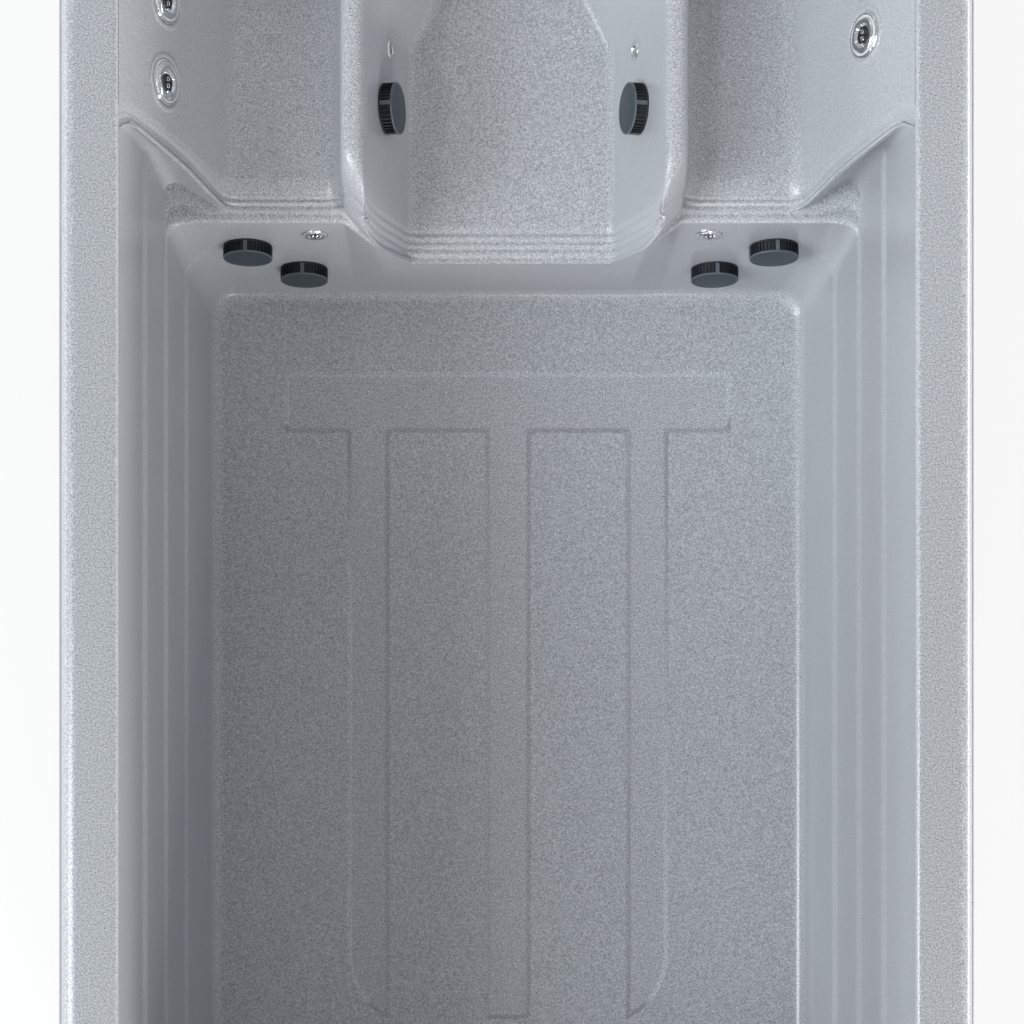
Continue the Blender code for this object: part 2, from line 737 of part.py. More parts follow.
def well_ring(run, drop, grow):
    """Section across seats, dividers and platform at run metres behind the nosing's lower edge."""
    back = max(rise_share(run, BACKREST_RUN), WELL_END_DEPTH / SEAT_DEPTH)
    tilt = SEAT_TILT * min(max(run, 0.0) / (SEAT_RUN - BACKREST_RUN), 1.0)
    seat = (SEAT_DEPTH + tilt) * back + drop
    end = max(rise_share(run, PLATFORM_END_RUN), WELL_END_DEPTH / PLATFORM_DEPTH)
    platform = PLATFORM_DEPTH * end + drop
    ease = min(max((FRONT_EASE - run) / FRONT_EASE, 0.0), 1.0)
    divider = (DIVIDER_DEPTH + DIVIDER_FRONT_DROP * ease ** 2) * back + drop
    narrowing = min(max((run - NARROWING_START) / (SEAT_RUN - NARROWING_START), 0.0), 1.0)
    floor_half = mix(PLATFORM_HALF, PLATFORM_BACK_HALF, narrowing)
    divider_inner = DIVIDER_INNER_X - (PLATFORM_HALF - floor_half) * DIVIDER_FOLLOW_SHARE
    side = side_half(FRONT_PATH_Y + run) if run > FRONT_FADE else RIM_HALF_X - WELL_TOP_INSET
    outer_x = RIM_HALF_X - WELL_TOP_INSET + drop - well_side_slope() * (seat - drop - WELL_TOP_DEPTH)
    outer_x = min(outer_x, side - BLEND_SINK)
    right = [
        (floor_half + drop, platform, PLATFORM_RADIUS, 3),
        (divider_inner, divider, DIVIDER_RADIUS, 2),
        (DIVIDER_OUTER_X, divider, DIVIDER_RADIUS, 2),
        (SEAT_INNER_X, seat, SEAT_INNER_RADIUS, 3),
        (outer_x, seat, SEAT_OUTER_RADIUS, 4),
        (side, WELL_TOP_DEPTH, 0.0, 0),
        (side, -OVERRUN, 0.0, 0),
    ]
    if grow > 0:
        right = [(x, depth, radius, (steps + 1) // 2) for x, depth, radius, steps in right]
    left = [(-x, depth, radius, steps) for x, depth, radius, steps in reversed(right)]
    outline = corner_outline(right + left, grow)
    fade = min(max(1 - run / FRONT_FADE, 0.0), 1.0)
    behind = grow * min(max(run, 0.0) / FRONT_FADE, 1.0)
    ring = []
    for point in outline:
        y = FRONT_PATH_Y + run + behind + fade * (front_path(point.x) - FRONT_PATH_Y - NOSING_LAP)
        if run < 0:
            y = PLATFORM_FRONT_Y - FRONT_REACH - grow
        depth = point.y if grow == 0 else max(point.y, OUTER_SINK)
        ring.append((point.x, y, RIM_TOP - depth))
    return ring


def nosing_stations():
    """Pairs of run and drop over the nosing's ridges, from its lower edge to the seat."""
    pitch = NOSING_WIDTH / NOSING_RIDGES
    stations = []
    for ridge in range(NOSING_RIDGES):
        for run in (ridge * pitch, (ridge + 1) * pitch - GROOVE_WIDTH):
            stations.append((run, NOSING_FALL * (1 - run / NOSING_WIDTH) ** 2))
        run = (ridge + 1) * pitch - GROOVE_WIDTH / 2
        stations.append((run, NOSING_FALL * (1 - run / NOSING_WIDTH) ** 2 + GROOVE_DEPTH))
    stations.append((NOSING_WIDTH, 0.0))
    return stations


def well_core(grow):
    """The hollow over seats, dividers and platform, or with grow its outside."""
    if grow == 0:
        rings = [well_ring(-FRONT_REACH, NOSING_FALL, grow)]
        rings += [well_ring(run, drop, grow) for run, drop in nosing_stations()]
    else:
        rings = [well_ring(run, NOSING_FALL, grow) for run in (-FRONT_REACH, 0.0)]
        rings.append(well_ring(NOSING_WIDTH, 0.0, grow))
    rings.append(well_ring(FRONT_EASE, 0.0, grow))
    rings.append(well_ring(FRONT_FADE, 0.0, grow))
    rings.append(well_ring(NARROWING_START, 0.0, grow))
    for step in range(6):
        rings.append(well_ring(mix(SEAT_RUN - BACKREST_RUN, SEAT_RUN, step / 5), 0.0, grow))
    return loft("well", rings, None)


def rim_ring(grow, depth):
    corners = box_corners(-LIP_HALF_X, LIP_HALF_X, -LIP_HALF_Y, LIP_HALF_Y, LIP_CORNER, 4)
    return [(p.x, p.y, RIM_TOP - depth) for p in corner_outline(corners, grow)]


def rim_slab():
    """The flat rim with its rolled outer lip, as a closed ring."""
    inside = -(RIM_WIDTH + OVERRUN)
    rings = [rim_ring(inside, 0.0)]
    for step in range(4):
        angle = math.pi / 2 * step / 3
        across = LIP_ROLL_WIDTH * (1 - math.sin(angle))
        rings.append(rim_ring(-across, LIP_ROLL_DROP * (1 - math.cos(angle))))
    rings.append(rim_ring(0.0, LIP_ROLL_DROP + LIP_SKIRT))
    rings.append(rim_ring(-SHELL_WALL, LIP_ROLL_DROP + LIP_SKIRT))
    for step in reversed(range(3)):
        angle = math.pi / 2 * step / 2
        across = (LIP_ROLL_WIDTH - SHELL_WALL) * (1 - math.sin(angle))
        down = (LIP_ROLL_DROP - SHELL_WALL) * (1 - math.cos(angle))
        rings.append(rim_ring(-SHELL_WALL - across, SHELL_WALL + down))
    rings.append(rim_ring(inside, SHELL_WALL))
    return loft("rim", rings, None, closed=True)


def mouth_core():
    """The opening in the rim, with its rounded edge."""
    corners = box_corners(-RIM_HALF_X, RIM_HALF_X, -RIM_HALF_Y, RIM_HALF_Y, RIM_CORNER, 4)
    profile = [(INNER_ROLL + BLEND_SINK, -MOUTH_OVERRUN)]
    for step in range(4):
        angle = math.pi / 2 * step / 3
        profile.append((INNER_ROLL * (1 - math.sin(angle)), INNER_ROLL * (1 - math.cos(angle))))
    profile.append((0.0, INNER_ROLL + BLEND_SINK))
    rings = []
    for grow, depth in profile:
        rings.append([(p.x, p.y, RIM_TOP - depth) for p in corner_outline(corners, grow)])
    return loft("mouth", rings, None)


def floor_bands():
    """The raised cross bar and the three bands that run down the floor from it."""
    arc = []
    turn = math.acos(1 - (SIDE_BAND_OUTER - SIDE_BAND_INNER) / BAND_END_RADIUS)
    start = BAND_END_Y + BAND_END_RADIUS * math.sin(turn)
    for step in range(5):
        angle = turn * step / 4
        x = SIDE_BAND_OUTER - BAND_END_RADIUS * (1 - math.cos(angle))
        arc.append((x, start - BAND_END_RADIUS * math.sin(angle), 0.0, 0))
    right = [
        (MIDDLE_BAND_HALF, BAND_END_Y, BAND_CORNER, 2),
        (MIDDLE_BAND_HALF, BAR_BACK_Y, BAND_CORNER, 2),
        (SIDE_BAND_INNER, BAR_BACK_Y, BAND_CORNER, 2),
        *reversed(arc),
        (SIDE_BAND_OUTER, BAR_BACK_Y, BAND_CORNER, 2),
        (BAR_HALF_LENGTH, BAR_BACK_Y, BAND_CORNER, 2),
        (BAR_HALF_LENGTH, BAR_FRONT_Y, BAND_CORNER, 2),
    ]
    left = [(-x, y, radius, steps) for x, y, radius, steps in reversed(right)]
    low = FLOOR_Z - SHELL_WALL / 2
    rings = []
    for grow, z in ((0.0, low), (0.0, FLOOR_Z), (-BAND_EDGE, FLOOR_Z + BAND_HEIGHT)):
        rings.append([(p.x, p.y, z) for p in corner_outline(right + left, grow)])
    return loft("bands", rings, None)


# Places of the fittings on the shell's walls
def wall_place(point, normal):
    """Frame whose Z axis points from the wall into the water."""
    z_axis = Vector(normal).normalized()
    up = Vector((0, 0, 1))
    x_axis = up.cross(z_axis).normalized()
    y_axis = z_axis.cross(x_axis)
    turn = Matrix((x_axis, y_axis, z_axis)).transposed().to_4x4()
    return Matrix.Translation(point) @ turn


def front_wall_place(x, depth):
    top = LEDGE_DEPTHS[1] + LEDGE_DROP
    slope = (front_y(top) - front_y(BASIN_DEPTH - FLOOR_FILLET)) / (BASIN_DEPTH - FLOOR_FILLET - top)
    return wall_place((x, front_y(depth), RIM_TOP - depth), (0, -1, slope))


def end_wall_place(x, depth):
    """A place on the swim end wall, between two ledges."""
    top = max([ledge + LEDGE_DROP for ledge in LEDGE_DEPTHS if ledge < depth], default=WELL_TOP_DEPTH)
    low = min([ledge for ledge in LEDGE_DEPTHS if ledge > depth], default=BASIN_DEPTH - FLOOR_FILLET)
    top_inset = end_inset(top) if top > WELL_TOP_DEPTH else WELL_TOP_INSET + top * END_DRAFT_SHARE
    slope = (end_inset(low) - top_inset) / (low - top)
    inset = top_inset + slope * (depth - top)
    return wall_place((x, -RIM_HALF_Y + inset, RIM_TOP - depth), (0, 1, slope))


def seat_wall_place(side, y, depth):
    """A place on a seat's sloping outer wall; side is -1 at left and 1 at right."""
    slope = well_side_slope()
    x = RIM_HALF_X - WELL_TOP_INSET - slope * (depth - WELL_TOP_DEPTH)
    return wall_place((side * x, y, RIM_TOP - depth), (-side, 0, slope))


def footwell_place(side, y, depth):
    """A place on the wall between a seat and the platform."""
    slope = (DIVIDER_INNER_X - PLATFORM_HALF) / (PLATFORM_DEPTH - DIVIDER_DEPTH)
    x = PLATFORM_HALF + slope * (PLATFORM_DEPTH - depth)
    return wall_place((side * x, y, RIM_TOP - depth), (-side, 0, slope))


def seat_jet_places():
    places = []
    for name, side, ys in (("left", -1, LEFT_SEAT_JET_YS), ("right", 1, RIGHT_SEAT_JET_YS)):
        for i, y in enumerate(ys):
            places.append(("%s_%d" % (name, i + 1), seat_wall_place(side, y, SEAT_JET_DEPTH)))
    return places


def cover_places():
    return [
        ("front_left_outer", front_wall_place(-OUTER_COVER_X, OUTER_COVER_DEPTH)),
        ("front_left_inner", front_wall_place(-INNER_COVER_X, INNER_COVER_DEPTH)),
        ("front_right_inner", front_wall_place(INNER_COVER_X, INNER_COVER_DEPTH)),
        ("front_right_outer", front_wall_place(OUTER_COVER_X, OUTER_COVER_DEPTH)),
        ("footwell_left", footwell_place(-1, FOOT_COVER_Y, FOOT_COVER_DEPTH)),
        ("footwell_right", footwell_place(1, FOOT_COVER_Y, FOOT_COVER_DEPTH)),
    ]


def swim_jet_places():
    places = []
    for i in range(SWIM_JET_COUNT):
        x = (i - (SWIM_JET_COUNT - 1) / 2) * SWIM_JET_PITCH
        places.append((i + 1, end_wall_place(x, SWIM_JET_DEPTH)))
    return places


def make_shell(materials):
    shell = combine(rim_slab(), basin_core(SHELL_WALL), "UNION")
    shell = combine(shell, well_core(SHELL_WALL), "UNION")
    shell = combine(shell, mouth_core(), "DIFFERENCE")
    shell = combine(shell, basin_core(0.0), "DIFFERENCE")
    shell = combine(shell, well_core(0.0), "DIFFERENCE")
    shell = combine(shell, floor_bands(), "UNION")
    shell.name = "shell"
    shell.data.materials.clear()
    shell.data.materials.append(materials["acrylic"])
    return shell


def shell_bores():
    """Place and radius of every round hole through the shell's walls."""
    bores = []
    for name, place in seat_jet_places():
        bores.append((place, SEAT_JET_RADIUS * JET_BODY_SHARE + CLEARANCE))
    for side in (-1, 1):
        bores.append((front_jet_place(side), FRONT_JET_RADIUS * JET_BODY_SHARE + CLEARANCE))
        place = footwell_place(side, RETURN_Y, RETURN_DEPTH)
        bores.append((place, RETURN_RADIUS * JET_BODY_SHARE + CLEARANCE))
        bores.append((knob_place(side), KNOB_STEM_RADIUS + CLEARANCE))
    for name, place in cover_places():
        bores.append((place, COVER_STEM_RADIUS + CLEARANCE))
    for number, place in swim_jet_places():
        bores.append((place, SWIM_BODY_RADIUS + CLEARANCE))
    bores.append((end_wall_place(0.0, LIGHT_DEPTH), LIGHT_BODY_RADIUS + CLEARANCE))
    bores.append((Matrix.Translation((0.0, DRAIN_Y, FLOOR_Z)), DRAIN_STEM_RADIUS + CLEARANCE))
    return bores


def front_jet_place(side):
    return front_wall_place(side * FRONT_JET_X, FRONT_JET_DEPTH)


def knob_place(side):
    return Matrix.Translation((side * KNOB_X, rim_middle_y(), RIM_TOP))


def rim_middle_y():
    """Middle of the flat stretch of the rim at the seat end."""
    return (RIM_HALF_Y + INNER_ROLL + LIP_HALF_Y - LIP_ROLL_WIDTH) / 2


def skimmer_place():
    return end_wall_place(SKIMMER_X, SKIMMER_DEPTH)


def finish_shell(shell):
    """Cut the holes for the fittings, all of them in one go."""
    for place, radius in shell_bores():
        reach = SHELL_WALL + OVERRUN
        wide = around(radius, BORE_SIDES)
        profile = [(wide, -reach), (wide, BORE_OVERRUN)]
        cutter = turned("bore", profile, None, BORE_SIDES)
        cutter.matrix_world = place
        shell = combine(shell, cutter, "DIFFERENCE")
    half_x = SKIMMER_WIDTH / 2 + CLEARANCE
    half_y = SKIMMER_HEIGHT / 2 + CLEARANCE
    throat = box("throat", (-half_x, -half_y, -THROAT_OVERRUN), (half_x, half_y, OVERRUN), None)
    throat.matrix_world = skimmer_place()
    return combine(shell, throat, "DIFFERENCE")


# Fittings
def make_cover(name, place, material):
    """Round suction cover with a ring of slots, and its stem through the wall."""
    gap = CLEARANCE
    slot_low = COVER_FLANGE + gap
    slot_high = COVER_PROUD - COVER_CROWN
    deep = COVER_RADIUS - COVER_SLOT_DEPTH
    sides = COVER_RIBS * 2

    def ring(radius, height, slot_radius=None):
        points = []
        for i in range(sides):
            angle = math.tau * i / sides
            reach = slot_radius if slot_radius and i % 2 else radius
            points.append((reach * math.cos(angle), reach * math.sin(angle), height))
        return points

    rings = [
        ring(COVER_STEM_RADIUS, -COVER_STEM_LENGTH),
        ring(COVER_STEM_RADIUS, gap),
        ring(COVER_RADIUS, gap),
        ring(COVER_RADIUS, slot_low),
        ring(COVER_RADIUS, slot_low, deep),
        ring(COVER_RADIUS, slot_high, deep),
        ring(COVER_RADIUS, slot_high),
        ring(COVER_RADIUS - COVER_BEVEL, COVER_PROUD),
    ]
    cover = loft(name, rings, material)
    cover.matrix_world = place
    return cover


def make_jet(name, place, size, materials, sides):
    """Wall jet: a fixed body with its nut, and a face that turns in it about the jet's axis."""
    gap = CLEARANCE
    back = SHELL_WALL + gap
    body = size * JET_BODY_SHARE
    face = size * JET_FACE_SHARE
    port = size * JET_PORT_SHARE
    pocket = size * JET_POCKET_SHARE
    length = size * JET_LENGTH_SHARE
    face_low = JET_FLANGE / 2
    profile = [
        (body, -length),
        (body, -back - JET_NUT_THICKNESS),
        (size * JET_NUT_SHARE, -back - JET_NUT_THICKNESS),
        (size * JET_NUT_SHARE, -back),
        (body, -back),
        (body, gap),
        (size, gap),
        (size, face_low),
        (around(face + JET_GAP, sides), JET_FLANGE),
        (around(face + JET_GAP, sides), face_low),
        (around(port + JET_GAP, sides), face_low - gap),
        (around(port + JET_GAP, sides), -pocket),
    ]
    housing = turned(name + "_body", profile, materials["white_plastic"], sides)
    housing.matrix_world = place
    grip = face / (1 + JET_LOBE_SHARE)
    profile = [
        (port, -pocket + JET_GAP),
        (port, face_low + gap),
        (grip, face_low + gap),
        (grip, JET_FLANGE + JET_FACE_RISE / 2),
        (face * JET_CONE_SHARE, JET_FLANGE + JET_FACE_RISE),
        (port * JET_CONE_SHARE, face_low),
    ]
    grip_rings = (2, 3)
    chrome = materials["chrome"]
    rotor = turned(name + "_face", profile, chrome, JET_LOBES * 3, JET_LOBES, JET_LOBE_SHARE, grip_rings)
    rotor.matrix_world = place


def make_return(name, place, material):
    body = RETURN_RADIUS * JET_BODY_SHARE
    profile = [
        (body, -RETURN_RADIUS * JET_LENGTH_SHARE),
        (body, CLEARANCE),
        (RETURN_RADIUS, CLEARANCE),
        (RETURN_RADIUS * JET_FACE_SHARE, RETURN_RISE),
        (RETURN_RADIUS * RETURN_LIP_SHARE, RETURN_RISE),
        (RETURN_RADIUS * JET_PORT_SHARE, -RETURN_RISE),
    ]
    fitting = turned(name, profile, material, SMALL_SIDES)
    fitting.matrix_world = place


def make_swim_jet(number, place, materials):
    """Swim jet: a flanged socket in the wall and a ball nozzle that tilts in it."""
    back = SHELL_WALL + CLEARANCE
    centre = -SWIM_BALL_SINK
    finish = -math.pi / 2 * BALL_BACK_SHARE
    arc_step = (BALL_LIP_ANGLE - finish) / BALL_STEPS
    socket = around(SWIM_BALL_RADIUS + SWIM_BALL_GAP, ROUND_SIDES) / math.cos(arc_step / 2)
    profile = [
        (SWIM_BODY_RADIUS, -SWIM_BODY_LENGTH),
        (SWIM_BODY_RADIUS, -back - SWIM_NUT_THICKNESS),
        (SWIM_NUT_RADIUS, -back - SWIM_NUT_THICKNESS),
        (SWIM_NUT_RADIUS, -back),
        (SWIM_BODY_RADIUS, -back),
        (SWIM_BODY_RADIUS, CLEARANCE),
        (SWIM_FLANGE_RADIUS, CLEARANCE),
        (SWIM_FLANGE_RADIUS - SWIM_FLANGE / 2, SWIM_FLANGE),
    ]
    start = math.acos(SWIM_THROAT_RADIUS / socket)
    for step in range(BALL_STEPS + 1):
        angle = mix(start, finish, step / BALL_STEPS)
        profile.append((socket * math.cos(angle), centre + socket * math.sin(angle)))
    housing = turned("swim_jet_socket_%d" % number, profile, materials["dark_plastic"], ROUND_SIDES)
    housing.matrix_world = place
    profile = []
    top = math.acos(SWIM_MOUTH_RADIUS / SWIM_BALL_RADIUS)
    for step in range(BALL_STEPS + 1):
        angle = mix(finish, top, step / BALL_STEPS)
        profile.append((SWIM_BALL_RADIUS * math.cos(angle), SWIM_BALL_RADIUS * math.sin(angle)))
    face = SWIM_BALL_RADIUS * math.sin(top)
    profile.append((SWIM_BORE_RADIUS, face - SWIM_FLANGE))
    profile.append((SWIM_BORE_RADIUS, face - SWIM_BORE_DEPTH))
    nozzle = turned("swim_jet_nozzle_%d" % number, profile, materials["chrome"], ROUND_SIDES)
    low = SWIM_BALL_RADIUS - SWIM_PIVOT_SINK
    high = SWIM_BALL_RADIUS + SWIM_PIVOT_PROUD
    for side in (-1, 1):
        pivot = turned("pivot", [(SWIM_PIVOT_RADIUS, low), (SWIM_PIVOT_RADIUS, high)], None, PIPE_SIDES)
        pivot.matrix_world = Matrix.Rotation(side * math.pi / 2, 4, "Y")
        nozzle = combine(nozzle, pivot, "UNION")
    nozzle.matrix_world = place @ Matrix.Translation((0, 0, centre))


def make_light(materials):
    back = SHELL_WALL + CLEARANCE
    profile = [
        (LIGHT_BODY_RADIUS, -LIGHT_BODY_LENGTH),
        (LIGHT_BODY_RADIUS, -back - JET_NUT_THICKNESS),
        (LIGHT_RADIUS, -back - JET_NUT_THICKNESS),
        (LIGHT_RADIUS, -back),
        (LIGHT_BODY_RADIUS, -back),
        (LIGHT_BODY_RADIUS, CLEARANCE),
        (LIGHT_RADIUS, CLEARANCE),
        (LIGHT_RADIUS * JET_NUT_SHARE, LIGHT_DOME / 2),
        (LIGHT_RADIUS * JET_FACE_SHARE, LIGHT_DOME / 2),
        (LIGHT_RADIUS * LIGHT_CROWN_SHARE, LIGHT_DOME),
    ]
    light = turned("underwater_light", profile, materials["lens"])
    light.matrix_world = end_wall_place(0.0, LIGHT_DEPTH)


def make_drain(materials):
    back = SHELL_WALL + CLEARANCE
    profile = [
        (DRAIN_STEM_RADIUS, -DRAIN_STEM_LENGTH),
        (DRAIN_STEM_RADIUS, -back - JET_NUT_THICKNESS),
        (DRAIN_RADIUS, -back - JET_NUT_THICKNESS),
        (DRAIN_RADIUS, -back),
        (DRAIN_STEM_RADIUS, -back),
        (DRAIN_STEM_RADIUS, CLEARANCE),
        (DRAIN_RADIUS, CLEARANCE),
        (DRAIN_RADIUS, DRAIN_RISE / 2),
        (DRAIN_RADIUS * DRAIN_CROWN_SHARE, DRAIN_RISE),
    ]
    drain = turned("floor_drain", profile, materials["white_plastic"])
    drain.location = (0.0, DRAIN_Y, FLOOR_Z)


def make_skimmer(materials):
    """Skimmer in the swim end wall: a shallow open box with its flange, and the weir that hinges in it."""
    place = skimmer_place()
    half_x = SKIMMER_WIDTH / 2
    half_y = SKIMMER_HEIGHT / 2
    corners = box_corners(-half_x, half_x, -half_y, half_y)
    levels = [
        (0.0, -SKIMMER_THROAT),
        (0.0, CLEARANCE),
        (SKIMMER_FLANGE, CLEARANCE),
        (SKIMMER_FLANGE, SKIMMER_PLATE),
        (-SKIMMER_WALL, SKIMMER_PLATE),
        (-SKIMMER_WALL, -SKIMMER_THROAT + SKIMMER_WALL),
    ]
    rings = []
    for grow, height in levels:
        rings.append([(p.x, p.y, height) for p in corner_outline(corners, grow)])
    housing = loft("skimmer_housing", rings, materials["white_plastic"], smooth=False)
    housing.matrix_world = place
    inner_x = half_x - SKIMMER_WALL - WEIR_GAP
    inner_y = half_y - SKIMMER_WALL - WEIR_GAP
    # The flap's local origin is the hinge line, near its lower edge, and the throat stays open above it.
    low = -WEIR_THICKNESS / 2
    high = low + 2 * inner_y * WEIR_HEIGHT_SHARE
    corners = [
        (low, low, WEIR_CORNER, 3),
        (-low, low, WEIR_CORNER, 3),
        (-low, high, WEIR_CORNER, 1),
        (low, high, WEIR_CORNER, 1),
    ]
    outline = corner_outline(corners)
    rings = [[(x, p.y, p.x) for p in outline] for x in (-inner_x, inner_x)]
    weir = loft("skimmer_weir", rings, materials["dark_plastic"], smooth=False)
    reach = half_x - SKIMMER_WALL - CLEARANCE
    pin = turned("pin", [(WEIR_PIN_RADIUS, -reach), (WEIR_PIN_RADIUS, reach)], None, PIPE_SIDES)
    pin.matrix_world = Matrix.Rotation(math.pi / 2, 4, "Y")
    weir = combine(weir, pin, "UNION")
    hinge = Matrix.Translation((0.0, -inner_y + WEIR_THICKNESS / 2, -WEIR_SETBACK))
    weir.matrix_world = place @ hinge


# Controls on the rim
def make_controls(materials):
    """Control panel with its press buttons, and the two air knobs, on the seat end rim."""
    low = RIM_TOP + CLEARANCE
    middle = rim_middle_y()
    half_x = PANEL_LENGTH / 2
    half_y = PANEL_WIDTH / 2
    corners = box_corners(-half_x, half_x, middle - half_y, middle + half_y, PANEL_CORNER, 3)
    panel = prism("control_panel", corners, low, low + PANEL_HEIGHT, materials["black_trim"])
    for i in range(BUTTON_COUNT):
        x = BUTTON_X + (i - (BUTTON_COUNT - 1) / 2) * BUTTON_PITCH
        pocket = around(BUTTON_RADIUS + BUTTON_GAP, SMALL_SIDES)
        profile = [(pocket, low + BUTTON_SEAT), (pocket, low + PANEL_HEIGHT + BORE_OVERRUN)]
        cutter = turned("pocket", profile, None, SMALL_SIDES)
        cutter.location = (x, middle, 0.0)
        panel = combine(panel, cutter, "DIFFERENCE")
        bottom = BUTTON_SEAT + CLEARANCE + BUTTON_TRAVEL
        top = PANEL_HEIGHT + BUTTON_RISE
        profile = [
            (BUTTON_RADIUS, bottom),
            (BUTTON_RADIUS, top - BUTTON_SEAT / 2),
            (BUTTON_RADIUS - BUTTON_SEAT / 2, top),
        ]
        button = turned("panel_button_%d" % (i + 1), profile, materials["button"], SMALL_SIDES)
        button.location = (x, middle, low)
    grip_rings = (2, 3)
    for name, side in (("air_knob_left", -1), ("air_knob_right", 1)):
        profile = [
            (KNOB_STEM_RADIUS, CLEARANCE - SHELL_WALL),
            (KNOB_STEM_RADIUS, CLEARANCE),
            (KNOB_RADIUS, CLEARANCE),
            (KNOB_RADIUS, KNOB_HEIGHT - KNOB_EDGE),
            (KNOB_RADIUS - KNOB_EDGE, KNOB_HEIGHT),
        ]
        chrome = materials["chrome"]
        knob = turned(name, profile, chrome, KNOB_LOBES * 3, KNOB_LOBES, KNOB_LOBE_SHARE, grip_rings)
        knob.matrix_world = knob_place(side)


# Cabinet
def make_base_pan(materials):
    half_x = CABINET_HALF_X - PAN_INSET
    half_y = CABINET_HALF_Y - PAN_INSET
    corners = box_corners(-half_x, half_x, -half_y, half_y, cabinet_radius() - PAN_INSET, 4)
    prism("base_pan", corners, 0.0, PAN_FLOOR, materials["pan"])


def cabinet_radius():
    """Corner radius of the cabinet, which follows the lip's."""
    return LIP_CORNER - (LIP_HALF_X - CABINET_HALF_X)


def plank_profile(low, high, outer):
    """Section of a plank wall: a list of (across, height) with a groove between planks."""
    pitch = (high - low) / PLANK_COUNT
    points = [(outer - PANEL_THICKNESS, low), (outer, low)]
    for i in range(1, PLANK_COUNT):
        z = low + i * pitch
        points.append((outer, z - PLANK_GROOVE))
        points.append((outer - PLANK_GROOVE, z))
        points.append((outer, z + PLANK_GROOVE))
    points.append((outer, high))
    points.append((outer - PANEL_THICKNESS, high))
    return points


def make_panels(materials):
    """Plank panels: two on each long side and one on each end; the seat end's lifts off for service."""
    low = PAN_TOP_Z
    high = CABINET_TOP_Z
    end_y = CABINET_HALF_Y - POST_LEG - PANEL_JOINT / 2
    end_x = CABINET_HALF_X - POST_LEG - PANEL_JOINT / 2
    middle = PANEL_JOINT / 2
    profile = plank_profile(low, high, CABINET_HALF_X)
    for side_name, side in (("left", -1), ("right", 1)):
        for place_name, start, end in (("swim", -end_y, -middle), ("seat", middle, end_y)):
            rings = [[(side * across, y, z) for across, z in profile] for y in (start, end)]
            loft("side_panel_%s_%s" % (side_name, place_name), rings, materials["cabinet"], smooth=False)
    profile = plank_profile(low, high, CABINET_HALF_Y)
    for name, side in (("end_panel_swim", -1), ("access_panel_seat", 1)):
        rings = [[(x, side * across, z) for across, z in profile] for x in (-end_x, end_x)]
        loft(name, rings, materials["cabinet"], smooth=False)


def make_posts(materials):
    """Corner posts: bent strips round the cabinet's corners."""
    radius = cabinet_radius()
    for name, side_x, side_y in (
        ("corner_post_swim_left", -1, -1),
        ("corner_post_swim_right", 1, -1),
        ("corner_post_seat_right", 1, 1),
        ("corner_post_seat_left", -1, 1),
    ):
        far_x = CABINET_HALF_X
        far_y = CABINET_HALF_Y
        thick = PANEL_THICKNESS
        corners = [
            (far_x - POST_LEG, far_y - thick, 0.0, 0),
            (far_x - thick, far_y - thick, radius - thick, 3),
            (far_x - thick, far_y - POST_LEG, 0.0, 0),
            (far_x, far_y - POST_LEG, 0.0, 0),
            (far_x, far_y, radius, 3),
            (far_x - POST_LEG, far_y, 0.0, 0),
        ]
        placed = [(side_x * x, side_y * y, r, steps) for x, y, r, steps in corners]
        prism(name, placed, PAN_TOP_Z, CABINET_TOP_Z, materials["black_trim"])


def make_trim(materials):
    """Dark trim that closes the cabinet under the lip and shows as a thin line from above."""
    low = CABINET_TOP_Z + CLEARANCE
    high = LIP_BOTTOM_Z - CLEARANCE
    corners = box_corners(-LIP_HALF_X, LIP_HALF_X, -LIP_HALF_Y, LIP_HALF_Y, LIP_CORNER, 4)
    inside = -(LIP_HALF_X - FRAME_HALF_X) + CLEARANCE
    rings = []
    for grow, z in (
        (inside, low),
        (TRIM_PROUD - TRIM_EDGE, low),
        (TRIM_PROUD, low + TRIM_EDGE),
        (TRIM_PROUD, high - TRIM_EDGE),
        (TRIM_PROUD - TRIM_EDGE, high),
        (inside, high),
    ):
        rings.append([(p.x, p.y, z) for p in corner_outline(corners, grow)])
    loft("lip_trim", rings, materials["black_trim"], closed=True, smooth=False)


# Frame and cradle
def make_frame(materials):
    """Welded tube frames on the four sides, which carry the rim, and the cradle under the floor."""
    low = PAN_TOP_Z
    heights = bar_edges(low, FRAME_TOP_Z, 1, TUBE)
    run = CABINET_HALF_Y - cabinet_radius()
    lengths = bar_edges(-run, run, LONG_BAY_COUNT, TUBE)
    for name, side in (("frame_left", -1), ("frame_right", 1)):
        near = min(side * FRAME_HALF_X, side * (FRAME_HALF_X - TUBE))
        lattice(name, lengths, heights, near, near + TUBE, lambda u, v, w: (w, u, v), materials["steel"])
    run = CABINET_HALF_X - cabinet_radius()
    lengths = bar_edges(-run, run, END_BAY_COUNT, TUBE)
    for name, side in (("frame_swim_end", -1), ("frame_seat_end", 1)):
        near = min(side * FRAME_HALF_Y, side * (FRAME_HALF_Y - TUBE))
        lattice(name, lengths, heights, near, near + TUBE, lambda u, v, w: (u, w, v), materials["steel"])
    half = RIM_HALF_X - wall_inset(BASIN_DEPTH) - FLOOR_FILLET - CRADLE_INSET
    near = -RIM_HALF_Y + end_inset(BASIN_DEPTH) + FLOOR_FILLET + CRADLE_INSET
    across = bar_edges(-half, half, ACROSS_BAY_COUNT, TUBE)
    along = bar_edges(near, FRONT_FLOOR_Y - CRADLE_INSET, ALONG_BAY_COUNT, TUBE)
    top = FLOOR_Z - SHELL_WALL - CLEARANCE
    lattice("floor_cradle", across, along, low, top, lambda u, v, w: (u, v, w), materials["steel"])


